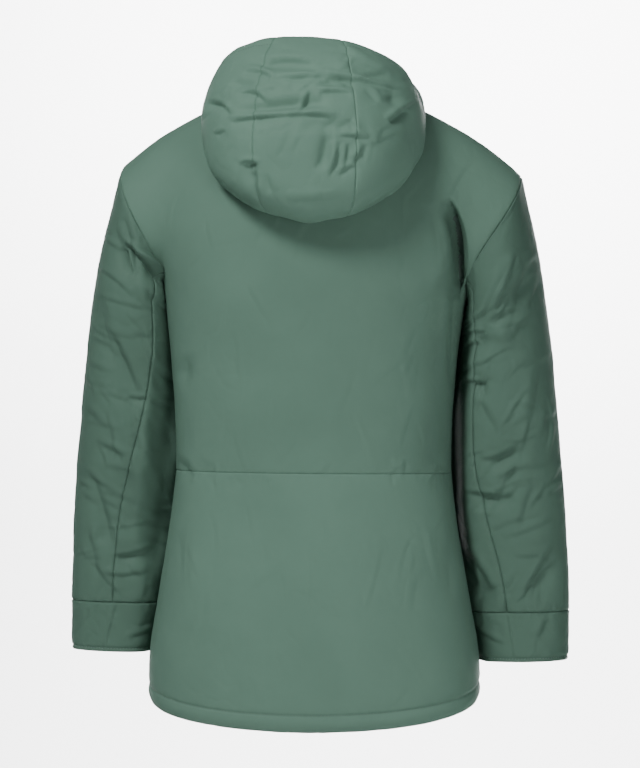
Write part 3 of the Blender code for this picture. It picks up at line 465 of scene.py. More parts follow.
def armhole(turn, side):
    """The armhole seam: 0 at the shoulder, 90 degrees at the back, 180 under the arm, 270 at the front."""
    pit_x = ring_value("half_width", PIT_LEVEL) + side * ring_value("shift", PIT_LEVEL)
    z = (SHOULDER_Z + PIT_LEVEL) / 2 + (SHOULDER_Z - PIT_LEVEL) / 2 * np.cos(turn)
    share = (z - PIT_LEVEL) / (SHOULDER_Z - PIT_LEVEL)
    x = pit_x + (SHOULDER_HALF - pit_x) * ease(share)
    bulge = np.sign(np.sin(turn)) * np.abs(np.sin(turn)) ** ARMHOLE_POINT
    y = SHOULDER_Y * share - ARMHOLE_BULGE * bulge
    return np.stack([side * x, y, z], axis=-1)


def torso_upper(u, rise, face):
    """Points above the armpit, from that level (rise 0) over to the shoulder and neck seams (rise 1)."""
    low = torso_level(u, np.full_like(u, PIT_LEVEL), face)
    high = top_edge(u, face)
    last = np.radians(90 - (90 - NECK_ARC) * ease(1 - np.abs(u) / NECK_SHARE))
    turn = rise * last
    back_off = (np.cos(turn) - np.cos(last)) / (1 - np.cos(last))
    climb = np.sin(turn) / np.sin(last)
    x = high[..., 0] + (low[..., 0] - high[..., 0]) * back_off
    y = high[..., 1] + (low[..., 1] - high[..., 1]) * back_off
    z = low[..., 2] + (high[..., 2] - low[..., 2]) * climb
    points = np.stack([x, y, z], axis=-1)
    side = np.where(u < 0, -1.0, 1.0)
    end_low = torso_level(side, np.full_like(u, PIT_LEVEL), face)
    end_high = top_edge(side, face)
    end_turn = (rise * math.pi / 2)[..., None]
    plain = end_high + (end_low - end_high) * np.cos(end_turn)
    plain[..., 2] = end_low[..., 2] + (end_high[..., 2] - end_low[..., 2]) * np.sin(end_turn[..., 0])
    seam = armhole(math.pi * (1 + face * rise), side)
    return points + (np.abs(u) ** 3.5)[..., None] * (seam - plain)


def torso(us, levels, rises, face):
    """A grid over one side of the torso: rows from the hem to the armpit, then to the shoulder."""
    parts = []
    if len(levels):
        u, level = np.meshgrid(us, levels)
        parts.append(torso_level(u, level, face))
    if len(rises):
        u, rise = np.meshgrid(us, rises)
        parts.append(torso_upper(u, rise, face))
    return tilted(np.concatenate(parts))


def tilted(points):
    """The right shoulder hangs a little lower than the left; the skirt hangs level."""
    points = points.copy()
    points[..., 2] -= TILT * points[..., 0] * ease((points[..., 2] + 600) / 350)
    return points


# ---- clearance ----
def torso_cover():
    """The torso's points and normals, sampled closely."""
    us = np.linspace(-1, 1, 61)
    levels = np.linspace(HEM_LEVEL, PIT_LEVEL, 40, endpoint=False)
    points, normals = [], []
    for face in (-1, 1):
        grid = torso(us, levels, np.linspace(0, 1, 24), face)
        points.append(grid.reshape(-1, 3))
        normals.append(grid_normals(grid, False, -float(face)).reshape(-1, 3))
    points, normals = np.concatenate(points), np.concatenate(normals)
    tree = KDTree(len(points))
    for i, point in enumerate(points):
        tree.insert(point, i)
    tree.balance()
    return points, normals, tree


def kept_clear(points, cover, clearance):
    """Moves points out along the normals of the torso below them until they stand clear of it."""
    cover_points, cover_normals, tree = cover
    flat = points.reshape(-1, 3)
    wanted = np.broadcast_to(clearance, points.shape[:-1]).reshape(-1)
    near = np.array([tree.find(point)[1] for point in flat])
    away = flat - cover_points[near]
    height = (away * cover_normals[near]).sum(axis=-1)
    beside = np.linalg.norm(away - height[:, None] * cover_normals[near], axis=-1)
    lift = np.where((height < wanted) & (beside < COVER_REACH), wanted - height, 0.0)
    return (flat + cover_normals[near] * lift[:, None]).reshape(points.shape)


# ---- sleeves and hood ----
def sleeve(turns, places, side, cover):
    """A grid round the sleeve: one row for each place, 0 at the armhole and CUFF_RING at the cuff's seam."""
    name = "left" if side < 0 else "right"
    drift, first, length = SEAM_DRIFT[name]
    seam = math.pi * SLEEVE_BACK_SEAM / 9
    reach = tent(turns, seam, FRONT_SEAM_TURN)
    rings = [armhole(turns, np.full_like(turns, side))]
    for n, row in enumerate(SLEEVE_RINGS):
        ring = dict(zip(ARM_RINGS, row))
        swing = ARM_SWING[name] * ease((n + 1) / ARM_SWUNG_RING)
        turned = turns - math.radians(drift) * ease((n + 1 - first) / length) * reach
        across, down = (ring["outer_x"] - ring["inner_x"]) / 2, (ring["outer_z"] - ring["inner_z"]) / 2
        x = (ring["outer_x"] + ring["inner_x"]) / 2 + across * np.cos(turned)
        z = (ring["outer_z"] + ring["inner_z"]) / 2 + down * np.cos(turned)
        y = ring["mid_y"] + swing - ring["half_depth"] * np.sin(turned)
        rings.append(np.stack([side * x + ARM_SHIFT * ease((n + 1) / 4), y, z], axis=-1))
    grid = tilted_arm(curve(np.arange(len(rings)), np.array(rings), places), places, side)
    under_arm = PIT_EASE * np.exp(-(((np.asarray(places) - 0.9) / 0.6) ** 2))
    clearance = (BODY_TO_SLEEVE + under_arm) * ease(np.asarray(places) / 0.9)
    clearance = clearance[:, None] * ease(0.4 - 1.2 * np.cos(turns))
    clearance = np.where(np.cos(turns) > 0.1, -1e3, clearance)
    below = np.asarray(places) > 0
    grid[below] = kept_clear(grid[below], cover, clearance[below])
    return grid


def tilted_arm(points, places, side):
    """The sleeve takes the shoulder's tilt along its whole length."""
    points = points.copy()
    at_seam = TILT * points[..., 0]
    level = 1 - ARM_LEVELLING * np.asarray(places)[:, None] / len(SLEEVE_RINGS)
    hanging = TILT * side * SHOULDER_HALF * level
    share = ease(np.asarray(places) / 2.0)[:, None]
    points[..., 2] -= at_seam * (1 - share) + hanging * share
    return points


def hood(turns, places, cover):
    """A grid over the hood as it hangs: columns round the neck, rows from the neck seam to the open edge."""
    stations = np.radians([row[0] for row in HOOD_SECTIONS])
    shape = np.array([row[1:] for row in HOOD_SECTIONS], float)
    read = curve(stations, shape, np.abs(turns))
    seam_x, seam_y, seam_z = neckline(np.abs(turns))
    first = np.stack([np.hypot(seam_x, seam_y), seam_z], axis=-1)[:, None, :]
    profile = np.concatenate([first, read], axis=1).transpose(1, 0, 2)
    rows = curve(HOOD_KNOTS, profile, places)
    heading = np.arctan2(seam_x, -seam_y)
    share = ease(np.asarray(places) / 0.3)[:, None]
    angle = heading + (np.abs(turns) - heading) * share
    side = np.where(turns < 0, -1.0, 1.0)
    for (turned, wide, place, long), across, up in (HOOD_LOBE, HOOD_DIP):
        lobe = np.exp(-(((np.degrees(turns) - turned) / wide) ** 2))
        lobe = lobe * np.exp(-(((np.asarray(places)[:, None] - place) / long) ** 2))
        rows += lobe[..., None] * np.array([across, up])
    x = side * rows[..., 0] * np.sin(angle)
    y = -rows[..., 0] * np.cos(angle)
    keep_front = ease((math.pi - np.abs(turns)) / math.radians(40))
    x = x + HOOD_SHIFT * share * keep_front
    roll = TILT + (HOOD_ROLL - TILT) * np.clip(np.cos(turns), 0, 1) - HOOD_SIDE_LIFT * np.abs(np.sin(turns))
    z = rows[..., 1] - roll * x * share * keep_front
    points = np.stack([x, y, z], axis=-1)
    points[..., 2] -= TILT * points[..., 0] * (1 - share)
    standing = ease((np.degrees(np.abs(turns)) - 120) / 25)
    clearance = BODY_TO_HOOD * np.clip(np.asarray(places[1:]) / 0.025, 0, 1)[:, None] * (1 - standing)
    clearance = np.where(standing > 0.98, -1e3, clearance)
    points[1:] = kept_clear(points[1:], cover, clearance)
    # at the sides the rows are spaced evenly and the roll over the shoulders is eased
    at_side = ease((np.degrees(np.abs(turns)) - 45) / 20) * keep_front
    for c in np.flatnonzero(at_side > 0):
        lengths = lengths_along(points[:, c])
        even = np.linspace(0.0, lengths[-1], len(lengths))
        wanted = lengths + at_side[c] * (even - lengths)
        points[:, c] = read_at(points[:, c], lengths, wanted)
    for _ in range(HOOD_EASINGS):
        between = (points[:-2] + points[2:]) / 2
        points[1:-1] += 0.5 * at_side[:, None] * (between - points[1:-1])
    return points


# ---- creases ----
def from_line(places, line):
    """Each place's distance from a line, minus below it, and how far along its nearest point lies."""
    start, step = line[:-1], np.diff(line, axis=0)
    offset = places[:, None, :] - start
    along = np.clip((offset * step).sum(axis=-1) / (step * step).sum(axis=-1), 0, 1)
    across = offset - along[..., None] * step
    away = np.sqrt((across**2).sum(axis=-1))
    nearest = away.argmin(axis=-1)
    index = np.arange(len(places))
    turn = step[:, 0] * across[..., 1] - step[:, 1] * across[..., 0]
    return away[index, nearest] * np.sign(turn[index, nearest]), (nearest + along[index, nearest]) / len(step)


def soft_fold(distance):
    return np.exp(-(distance**2))


def crisp_crease(distance):
    """A steep face under a small roll of cloth on the upper side, a gentle slope on the lower."""
    away = np.abs(distance)
    valley = np.where(distance > 0, np.exp(-((away / 0.85) ** 1.6)), np.exp(-away / 2.2))
    return valley - 0.6 * np.exp(-(((distance - 2.3) / 1.3) ** 2))


def deep_pocket(distance):
    """One side falls away at once, the other slopes down to it."""
    slope = np.exp(-((np.abs(distance) / 1.8) ** 1.3))
    return np.where(distance > 0, np.exp(-((distance / 0.5) ** 2)), slope)


def pressed(grid, normals, rows, shape=soft_fold):
    """How far the cloth moves out at each point for a table of folds or creases."""
    total = np.zeros(grid.shape[:-1])
    flat = grid[..., [0, 2]]
    t = np.linspace(0, 1, 15)[:, None]
    for x0, z0, xm, zm, x1, z1, width, depth, *front in rows:
        facing = normals[..., 1] if front else -normals[..., 1]
        start, middle, end = np.array([x0, z0], float), np.array([xm, zm], float), np.array([x1, z1], float)
        line = (1 - t) ** 2 * start + 2 * t * (1 - t) * middle + t**2 * end
        if x0 > x1:
            line = line[::-1]
        low, high = line.min(axis=0) - 6 * width, line.max(axis=0) + 6 * width
        near = ((flat > low) & (flat < high)).all(axis=-1) & (facing > 0)
        if not near.any():
            continue
        distance, along = from_line(flat[near], line)
        taper = np.sin(math.pi * np.clip(along, 0, 1)) ** 0.7
        beyond = np.minimum(*(np.linalg.norm(flat[near] - tip, axis=-1) for tip in (line[0], line[-1])))
        taper = np.where((along <= 0) | (along >= 1), 0.0, taper) * ease(beyond / (2 * width) + 0.1)
        total[near] -= depth * shape(distance / width) * taper * ease(facing[near] / 0.35)
    return total


STREWN_WIDTHS = (2.0, 4.0)


def strewn(seed, count, across, up, length, lean, depth, *front):
    """Rows for small creases strewn over an area, about as long, as steep and as deep as asked for."""
    random = np.random.default_rng(seed)
    rows = []
    for _ in range(count):
        x, z = random.uniform(*across), random.uniform(*up)
        half = random.uniform(*length) / 2
        turn = math.radians(random.normal(lean, 24))
        bend = random.normal(0, 0.25) * half
        dx, dz = half * math.cos(turn), half * math.sin(turn)
        middle = (x - bend * math.sin(turn), z + bend * math.cos(turn))
        width, deep = random.uniform(*STREWN_WIDTHS), random.uniform(0.3, 1) * depth
        rows.append((x - dx, z - dz, *middle, x + dx, z + dz, width, deep, *front))
    return tuple(rows)


# ---- panels ----
class Panel:
    """One cut panel on a fine grid, and what its cloth does."""

    def __init__(self, name, grid, flip=1.0, closed=False, free=(), stitched=None, **looks):
        self.name, self.flip, self.closed, self.free = name, flip, closed, free
        self.stitched = stitched or {}
        self.folds, self.creases = looks["folds"], looks["creases"]
        self.ripple, self.seed = looks["ripple"], looks["seed"]
        self.pucker, self.angled = looks["pucker"], looks["angled"]
        self.seam_dip = looks.get("seam_dip", SEAM_DIP)
        self.grid = close_rows(grid, closed)
        normals = grid_normals(self.grid, closed, flip)
        self.grid[..., 1] -= pressed(self.grid, normals, looks.get("pockets", ()), deep_pocket)
        self.normals = grid_normals(self.grid, closed, flip)


def close_rows(grid, closed):
    """The grid with extra lines of points close to its edges, where the seams' narrow dips lie."""
    for axis in (0, 1):
        if axis == 1 and closed:
            continue
        last = grid.shape[axis] - 1
        places = np.concatenate([[0, 0.25, 0.55], np.arange(1, last), [last - 0.55, last - 0.25, last]])
        low = np.minimum(places.astype(int), last - 1)
        share = (places - low).reshape((-1, 1, 1) if axis == 0 else (1, -1, 1))
        grid = np.take(grid, low, axis=axis) * (1 - share) + np.take(grid, low + 1, axis=axis) * share
    return grid


def edge_distances(grid, closed):
    """How far each point lies from each edge, along the cloth's rows and columns."""
    rows, columns = grid.shape[:2]
    down = np.cumsum(np.linalg.norm(np.diff(grid, axis=0), axis=-1), axis=0)
    down = np.concatenate([np.zeros((1, columns)), down])
    far = {"bottom": down, "top": down[-1:] - down}
    if not closed:
        over = np.linalg.norm(np.diff(grid, axis=1), axis=-1)
        over = np.concatenate([np.zeros((rows, 1)), np.cumsum(over, axis=1)], axis=1)
        far.update(left=over, right=over[:, -1:] - over)
    return far


SWELL = 2.4
# narrow dips: depth and reach
SEAM_DIP = (2.1, 1.0)
SEAM_HOLLOW = (0.35, 5.0)
HOOD_SEAM_DIP = (1.2, 0.9)
BODY_SEAM_DIP = (1.0, 0.8)
ROUNDED_EDGE = (1.6, 1.5)
STITCH_DIP = (1.3, 1.7)
STITCH_HOLLOW = (0.9, 6.0)
PUCKER_REACH = 9.0
STITCH_PULL = (0.8, 7.0)
CALM_EDGE = 9.0
LINING_STEP = 3


def surface(panel):
    """The panel's outer points, with its swell, folds, creases, seams and the cloth's own unevenness."""
    grid, normals = panel.grid, panel.normals
    far = edge_distances(grid, panel.closed)
    sewn = [values for edge, values in far.items() if edge not in panel.free]
    seam = np.minimum.reduce(sewn) if sewn else np.full(grid.shape[:2], 1e3)
    angled = [values for edge, values in far.items() if edge in panel.angled]
    loose = ease(np.minimum.reduce(angled) / CALM_EDGE) if angled else 1.0
    out = pressed(grid, normals, panel.folds) * loose
    out += pressed(grid, normals, panel.creases, crisp_crease) * loose
    out += SWELL - dip(seam, panel.seam_dip) - dip(seam, SEAM_HOLLOW)
    pull = np.exp(-seam / PUCKER_REACH)
    for edge in panel.free:
        out -= dip(far[edge], ROUNDED_EDGE)
    for edge, where in panel.stitched.items():
        out -= dip(far[edge] - where, STITCH_DIP) + dip(far[edge] - where, STITCH_HOLLOW)
        pull = pull + STITCH_PULL[0] * np.exp(-np.abs(far[edge] - where) / STITCH_PULL[1])
    puckers = noise(grid, (7.0, 7.0, 10.0), 11) + 0.4 * noise(grid, 4.5, 12)
    out += panel.pucker * pull * puckers + panel.ripple * loose * unevenness(grid, panel.seed)
    return grid + normals * out[..., None]


def dip(distance, shape):
    """A narrow dip: its depth and how far it reaches."""
    depth, reach = shape
    return depth * np.exp(-((distance / reach) ** 2))


def unevenness(grid, seed):
    """The padding's soft lumps and the shell's light wrinkles."""
    soft = 1.0 * noise(grid, (70.0, 70.0, 100.0), seed) + 0.5 * noise(grid, (30.0, 30.0, 46.0), seed + 1)
    lines = 1 - np.abs(noise(grid, (26.0, 26.0, 34.0), seed + 2)) * 4.0
    lines = np.clip(lines, 0, 1) ** 2 * ease(0.4 + noise(grid, 80.0, seed + 3))
    return soft - 0.4 * lines + 0.18 * noise(grid, 11.0, seed + 4)


def panel_mesh(panel, material, lining):
    """A wall: fine outer cloth, a plain inner side and the rims between them."""
    outer = surface(panel)
    inner = outer - panel.normals * (LINING_DEPTH + SWELL)
    rows, columns = outer.shape[:2]
    row_marks = sorted({*range(0, rows, LINING_STEP), rows - 1})
    column_marks = sorted({*range(0, columns, LINING_STEP)} | (set() if panel.closed else {columns - 1}))
    lined = inner[np.ix_(row_marks, column_marks)]
    parts = [(outer, panel.closed, 0), (lined[::-1], panel.closed, 1)]
    for edge in (0, rows - 1):
        strip = np.stack([outer[edge], inner[edge]])
        parts.append((strip if edge else strip[::-1], panel.closed, 0))
    if not panel.closed:
        for edge in (0, columns - 1):
            strip = np.stack([outer[:, edge], inner[:, edge]])
            parts.append((strip[::-1] if edge else strip, False, 0))
    points, faces, looks, count = [], [], [], 0
    for grid, closed, look in parts:
        made = quads(grid.shape[0], grid.shape[1], closed) + count
        points.append(grid.reshape(-1, 3))
        faces.append(made if panel.flip > 0 else made[:, ::-1])
        looks.append(np.full(len(made), look))
        count += grid.shape[0] * grid.shape[1]
    points, faces = np.concatenate(points), np.concatenate(faces)
    made = mesh_object("shell_" + panel.name, points, faces, [material, lining])
    made.data.polygons.foreach_set("material_index", np.concatenate(looks).astype(np.int32))
    return made, outer


def quads(rows, columns, closed):
    """The faces of a grid, as rows of four point numbers."""
    around = columns if closed else columns - 1
    r, c = np.meshgrid(np.arange(rows - 1), np.arange(around), indexing="ij")
    after = (c + 1) % columns
    faces = [r * columns + c, r * columns + after, (r + 1) * columns + after, (r + 1) * columns + c]
    return np.stack(faces, axis=-1).reshape(-1, 4)


def mesh_object(name, points, faces, materials):
    """A smooth mesh from points in millimetres and faces with one number of corners."""
    faces = np.asarray(faces)
    mesh = bpy.data.meshes.new(name)
    mesh.vertices.add(len(points))
    mesh.vertices.foreach_set("co", (np.asarray(points) * MM).astype(np.float32).ravel())
    mesh.loops.add(faces.size)
    mesh.loops.foreach_set("vertex_index", faces.astype(np.int32).ravel())
    mesh.polygons.add(len(faces))
    mesh.polygons.foreach_set("loop_start", np.arange(0, faces.size, faces.shape[1], dtype=np.int32))
    mesh.update(calc_edges=True)
    mesh.shade_smooth()
    for material in materials:
        mesh.materials.append(material)
    made = bpy.data.objects.new(name, mesh)
    bpy.context.scene.collection.objects.link(made)
    return made


# ---- materials ----
class Nodes:
    """A short way to write a material's nodes."""

    def __init__(self, name):
        self.material = bpy.data.materials.new(name)
        self.material.use_nodes = True
        self.tree = self.material.node_tree
        self.shader = self.tree.nodes["Principled BSDF"]
        self.place = self.add("ShaderNodeTexCoord").outputs["Object"]

    def add(self, kind, **values):
        node = self.tree.nodes.new(kind)
        for key, value in values.items():
            if key in node.inputs:
                self.put(node.inputs[key], value)
            else:
                setattr(node, key, value)
        return node

    def put(self, socket, value):
        if isinstance(value, bpy.types.NodeSocket):
            self.tree.links.new(value, socket)
        else:
            socket.default_value = value

    def texture(self, kind, scale, **values):
        mapped = self.add("ShaderNodeMapping", Scale=scale)
        self.put(mapped.inputs["Vector"], self.place)
        node = self.add(kind, **values)
        self.put(node.inputs["Vector"], mapped.outputs["Vector"])
        return node

    def cloud(self, scale, detail, stretch=(1, 1, 1), **values):
        node = self.texture("ShaderNodeTexNoise", stretch, Scale=scale, Detail=detail, **values)
        return node.outputs["Fac"]

    def waves(self, scale, direction, **values):
        node = self.texture("ShaderNodeTexWave", (1, 1, 1), Scale=scale, bands_direction=direction, **values)
        return node.outputs["Fac"]

    def ranged(self, value, low, high, start=0.0, end=1.0):
        node = self.add("ShaderNodeMapRange")
        self.put(node.inputs["Value"], value)
        for key, number in (("From Min", start), ("From Max", end), ("To Min", low), ("To Max", high)):
            node.inputs[key].default_value = number
        return node.outputs["Result"]

    def maths(self, operation, first, second):
        node = self.add("ShaderNodeMath", operation=operation)
        self.put(node.inputs[0], first)
        self.put(node.inputs[1], second)
        return node.outputs["Value"]

    def set(self, **values):
        for key, value in values.items():
            self.put(self.shader.inputs[key.replace("_", " ")], value)

    def bump(self, height, strength, distance, after=None):
        node = self.add("ShaderNodeBump", Strength=strength, Distance=distance, Height=height)
        if after is not None:
            self.put(node.inputs["Normal"], after)
        return node.outputs["Normal"]


def shaded(nodes, colour, amount, lumps):
    """The colour, darker and lighter in soft lumps."""
    factor = nodes.ranged(nodes.cloud(lumps, 3.0, Roughness=0.55), 1 - amount, 1 + amount, 0.3, 0.7)
    mixed = nodes.add("ShaderNodeVectorMath", operation="SCALE")
    mixed.inputs[0].default_value = colour
    nodes.put(mixed.inputs["Scale"], factor)
    return mixed.outputs["Vector"]


def weave(nodes, pitch):
    """Fine threads both ways, each slightly uneven, as a height."""
    scale = 2 * math.pi / (pitch * MM) / 20.0
    return nodes.maths("MULTIPLY", *(nodes.waves(scale, direction, Distortion=0.6) for direction in "ZX"))


def shell_cloth(name, painted_tone):
    """A densely woven, matt synthetic, its colour scaled by the panel's painted light and shade."""
    nodes = Nodes(name)
    threads = weave(nodes, 0.55)
    # the panel's tone lightens or darkens the colour: painted light and shade
    colour = shaded(nodes, [painted_tone * v for v in SHELL], 0.05, 9.0)
    cloud = nodes.cloud(340.0, 2.0)
    crumple = nodes.cloud(90.0, 4.0, (1, 1, 0.6), Roughness=0.6)
    nodes.set(Base_Color=colour, Roughness=nodes.ranged(cloud, 0.46, 0.58), Specular_IOR_Level=0.03)
    rough = nodes.bump(crumple, 0.18, 0.0012)
    nodes.set(Normal=nodes.bump(threads, 0.10, 0.0002, rough))
    return nodes.material


def lining_cloth():
    """The plain inner side of the shell."""
    nodes = Nodes("parka_lining_cloth")
    nodes.set(Base_Color=shaded(nodes, SHELL_INSIDE, 0.07, 14.0), Roughness=0.55, Specular_IOR_Level=0.4)
    nodes.set(Normal=nodes.bump(weave(nodes, 0.7), 0.1, 0.0002))
    return nodes.material


def tape_cloth():
    """A ribbed woven zip tape."""
    nodes = Nodes("zip_tape_cloth")
    ribs = nodes.waves(330.0, "Z")
    nodes.set(Base_Color=shaded(nodes, ZIP_CLOTH, 0.1, 60.0), Roughness=0.85, Sheen_Weight=0.2)
    nodes.set(Normal=nodes.bump(ribs, 0.35, 0.0002))
    return nodes.material


def tooth_plastic():
    """The moulded plastic of the zip's teeth."""
    nodes = Nodes("zip_tooth_plastic")
    grain = nodes.cloud(900.0, 2.0)
    nodes.set(Base_Color=shaded(nodes, ZIP_PLASTIC, 0.06, 80.0), Roughness=nodes.ranged(grain, 0.32, 0.5))
    nodes.set(Normal=nodes.bump(grain, 0.06, 0.0002))
    return nodes.material


def zip_metal():
    """Dulled metal with fine brushed lines and rubbed patches."""
    nodes = Nodes("zip_brushed_metal")
    lines = nodes.cloud(1600.0, 2.0, (1, 1, 0.05))
    patches = nodes.cloud(220.0, 3.0)
    nodes.set(Base_Color=shaded(nodes, ZIP_METAL, 0.12, 300.0), Metallic=1.0)
    nodes.set(Roughness=nodes.maths("ADD", nodes.ranged(lines, 0.18, 0.34), nodes.ranged(patches, 0.0, 0.14)))
    nodes.set(Normal=nodes.bump(lines, 0.12, 0.0001))
    return nodes.material


def thread():
    """Sewing thread a little darker than the cloth."""
    nodes = Nodes("sewing_thread")
    colour = shaded(nodes, [v * 0.72 for v in SHELL], 0.08, 400.0)
    nodes.set(Base_Color=colour, Roughness=0.6, Sheen_Weight=0.3)
    return nodes.material


# ---- the panels' grids ----
ZIP_LEVELS = (HEM_LEVEL + ZIP_STARTS, -755, -710, -660, -605, -545, WAIST_LEVEL, -430, -370, -310)
ARM_PLACES = np.concatenate([np.linspace(0, 2, 7), np.linspace(2, CUFF_RING, 19)[1:]])
CUFF_PLACES = np.array([8.0, 8.35, 8.7, 9.0])
HOOD_ROWS = np.concatenate(
    [[0, 0.025, 0.055, 0.1, 0.16, 0.22, 0.28], np.linspace(0.33, 0.93, 18), np.linspace(0.93, 1.0, 3)[1:]]
)
HALF_ROUND = {"back": 310, "front": 300}
OVER_SHOULDER = 265
BACK_STEP = 2.5
FRONT_STEP = 4.0
HEM_FINE = 42.0
HEM_STEPS = {"back": 1.2, "front": 1.8}
ZIP_STITCH = 7.0
CUFF_STITCH = 5.0
HOOD_HEM = 22.0
HOOD_SEAM = 2
SLEEVE_STEPS = 10
CUFF_ROW_STEPS = 18
HOOD_ROW_STEPS = 10
HOOD_SIDE_STEPS = 12
HOOD_CENTRE_STEPS = 20

BACK_STREWN = (
    strewn(71, 26, (-165, 150), (-470, -260), (30, 90), 84, 0.7)
    + strewn(72, 30, (-175, 165), (-780, -500), (30, 90), 86, 0.7)
    + strewn(73, 26, (-190, 175), (-506, -470), (14, 34), 88, 0.8)
    + strewn(74, 22, (-210, 200), (-220, -90), (24, 70), 62, 0.8)
)
FRONT_STREWN = strewn(75, 70, (-200, 200), (-780, -120), (30, 90), 70, 1.0, "front")
SLEEVE_STREWN = {
    "left": strewn(81, 80, (-335, -200), (-650, -150), (20, 80), -42, 1.8)
    + strewn(82, 24, (-330, -215), (-730, -640), (14, 34), 80, 0.9)
    + strewn(83, 50, (-335, -200), (-730, -150), (20, 70), 35, 1.5, "front"),
    "right": strewn(84, 80, (200, 335), (-650, -150), (20, 80), 42, 1.8)
    + strewn(85, 24, (210, 330), (-740, -640), (14, 34), 80, 0.9)
    + strewn(86, 50, (200, 335), (-730, -150), (20, 70), -35, 1.5, "front"),
}
HOOD_STREWN = (
    strewn(91, 30, (-120, 110), (0, 70), (16, 50), -3, 1.5)
    + strewn(92, 22, (-100, 90), (-140, -30), (16, 46), 72, 1.1)
    + strewn(93, 16, (-140, 130), (-60, 30), (14, 40), 30, 1.2)
)


def levels_between(low, high, step):
    """Heights in even steps, both ends among them."""
    return np.linspace(low, high, max(2, int(round((high - low) / step)) + 1))


def torso_panels():
    half = np.linspace(0, 1, int(HALF_ROUND["back"] / BACK_STEP))
    columns = np.concatenate([-half[:0:-1], half])
    rises = np.linspace(0, 1, int(OVER_SHOULDER / BACK_STEP))
    band = levels_between(HEM_LEVEL, HEM_LEVEL + HEM_FINE, HEM_STEPS["back"])[:-1]
    skirt = np.concatenate([band, levels_between(HEM_LEVEL + HEM_FINE, WAIST_LEVEL, BACK_STEP)])
    upper = levels_between(WAIST_LEVEL, PIT_LEVEL, BACK_STEP)[:-1]
    looks = dict(folds=BODY_FOLDS, creases=BODY_CREASES + BACK_STREWN, ripple=0.75, seed=21)
    looks.update(pucker=0.6, angled=("left", "right"), pockets=BODY_POCKETS, seam_dip=BODY_SEAM_DIP)
    hem = {"bottom": HEM_BAND}
    panels = [
        Panel("back_skirt", torso(columns, skirt, [], -1), free=("bottom",), stitched=hem, **looks),
        Panel("back_body", torso(columns, upper, rises, -1), **looks),
    ]
    half = np.linspace(ZIP_SHARE, 1, int(HALF_ROUND["front"] / FRONT_STEP))
    half = np.concatenate([np.linspace(ZIP_SHARE, half[3], 10), half[4:]])
    band = levels_between(HEM_LEVEL, HEM_LEVEL + HEM_FINE, HEM_STEPS["front"])[:-1]
    levels = np.concatenate([band, levels_between(HEM_LEVEL + HEM_FINE, PIT_LEVEL, FRONT_STEP)[:-1]])
    rises = np.linspace(0, 1, int(OVER_SHOULDER / FRONT_STEP))
    looks.update(creases=BODY_CREASES + FRONT_STREWN, ripple=1.0, seed=31)
    for side, name in ((-1, "front_left"), (1, "front_right")):
        columns = half if side > 0 else -half[::-1]
        zip_edge = "left" if side > 0 else "right"
        grid = torso(columns, levels, rises, 1)
        stitched = {**hem, zip_edge: ZIP_STITCH}
        panels.append(Panel(name, grid, flip=-1.0, free=("bottom", zip_edge), stitched=stitched, **looks))
    return panels


def sunk(grid, side, name):
    """The sleeve with its inner side moved forwards, away from the light."""
    line = np.array(SUNK_LINES[name], float)[::-1]
    depth, inwards, width, centre = SUNK_BY[name]
    top, top_fade, bottom, bottom_fade = SUNK_ENDS
    x, z = grid[..., 0], grid[..., 2]
    inside = side * (np.interp(z, line[:, 0], line[:, 1]) - x)
    fade = ease((top - z) / top_fade) * ease((z - bottom) / bottom_fade)
    grid = grid.copy()
    share = ease(inside / width) * fade * ease((centre + SUNK_REACH - grid[..., 1]) / (2 * SUNK_REACH))
    grid[..., 1] += depth * share
    grid[..., 0] -= side * inwards * share
    return grid


def recut(grid, name):
    """The sleeve's columns moved along so that the back seam runs where the cloth is joined."""
    count = grid.shape[1]
    seam, front = SLEEVE_BACK_SEAM * SLEEVE_STEPS, SLEEVE_FRONT_SEAM * SLEEVE_STEPS
    rows = np.linspace(0, CUFF_RING, len(grid))
    moved = np.interp(rows, np.arange(CUFF_RING + 1), SEAM_MOVES[name])
    columns = np.arange(count)
    at = columns - moved[:, None] * tent(columns, seam, front)
    low = np.floor(at).astype(int)
    part = (at - low)[..., None]
    row = np.arange(len(grid))[:, None]
    return grid[row, low % count] * (1 - part) + grid[row, (low + 1) % count] * part


def sleeve_panels(cover):
    down = math.pi * np.linspace(0, 1, 10)
    turns = np.concatenate([down, 2 * math.pi - down[-2:0:-1]])
    count = len(turns)
    panels = []
    for side, name in ((-1, "left"), (1, "right")):
        arm = sleeve(turns, ARM_PLACES, side, cover)
        cuff = sleeve(turns, CUFF_PLACES, side, cover)
        cuff[0] = arm[-1]
        flip = -1.0 if side < 0 else 1.0
        whole = recut(sunk(finer(arm, SLEEVE_STEPS, SLEEVE_STEPS, closed=True), side, name), name)
        fine = whole.shape[1]
        start, end = SLEEVE_FRONT_SEAM * SLEEVE_STEPS, (SLEEVE_BACK_SEAM + count) * SLEEVE_STEPS
        outer = whole[:, [c % fine for c in range(start, end + 1)]]
        under = whole[:, SLEEVE_BACK_SEAM * SLEEVE_STEPS : start + 1]
        creases = SLEEVE_CREASES + SLEEVE_STREWN[name]
        looks = dict(folds=SLEEVE_FOLDS, creases=creases, ripple=1.35, seed=41 if side < 0 else 51)
        looks.update(pucker=0.9, angled=("bottom",))
        panels.append(Panel("sleeve_outer_" + name, outer, flip=flip, **looks))
        panels.append(Panel("sleeve_under_" + name, under, flip=flip, **looks))
        fine_cuff = finer(cuff, CUFF_ROW_STEPS, SLEEVE_STEPS, closed=True)
        looks.update(pucker=1.2, angled=(), closed=True, free=("top",), stitched={"top": CUFF_STITCH})
        panels.append(Panel("cuff_" + name, fine_cuff, flip=flip, **looks))
    return panels


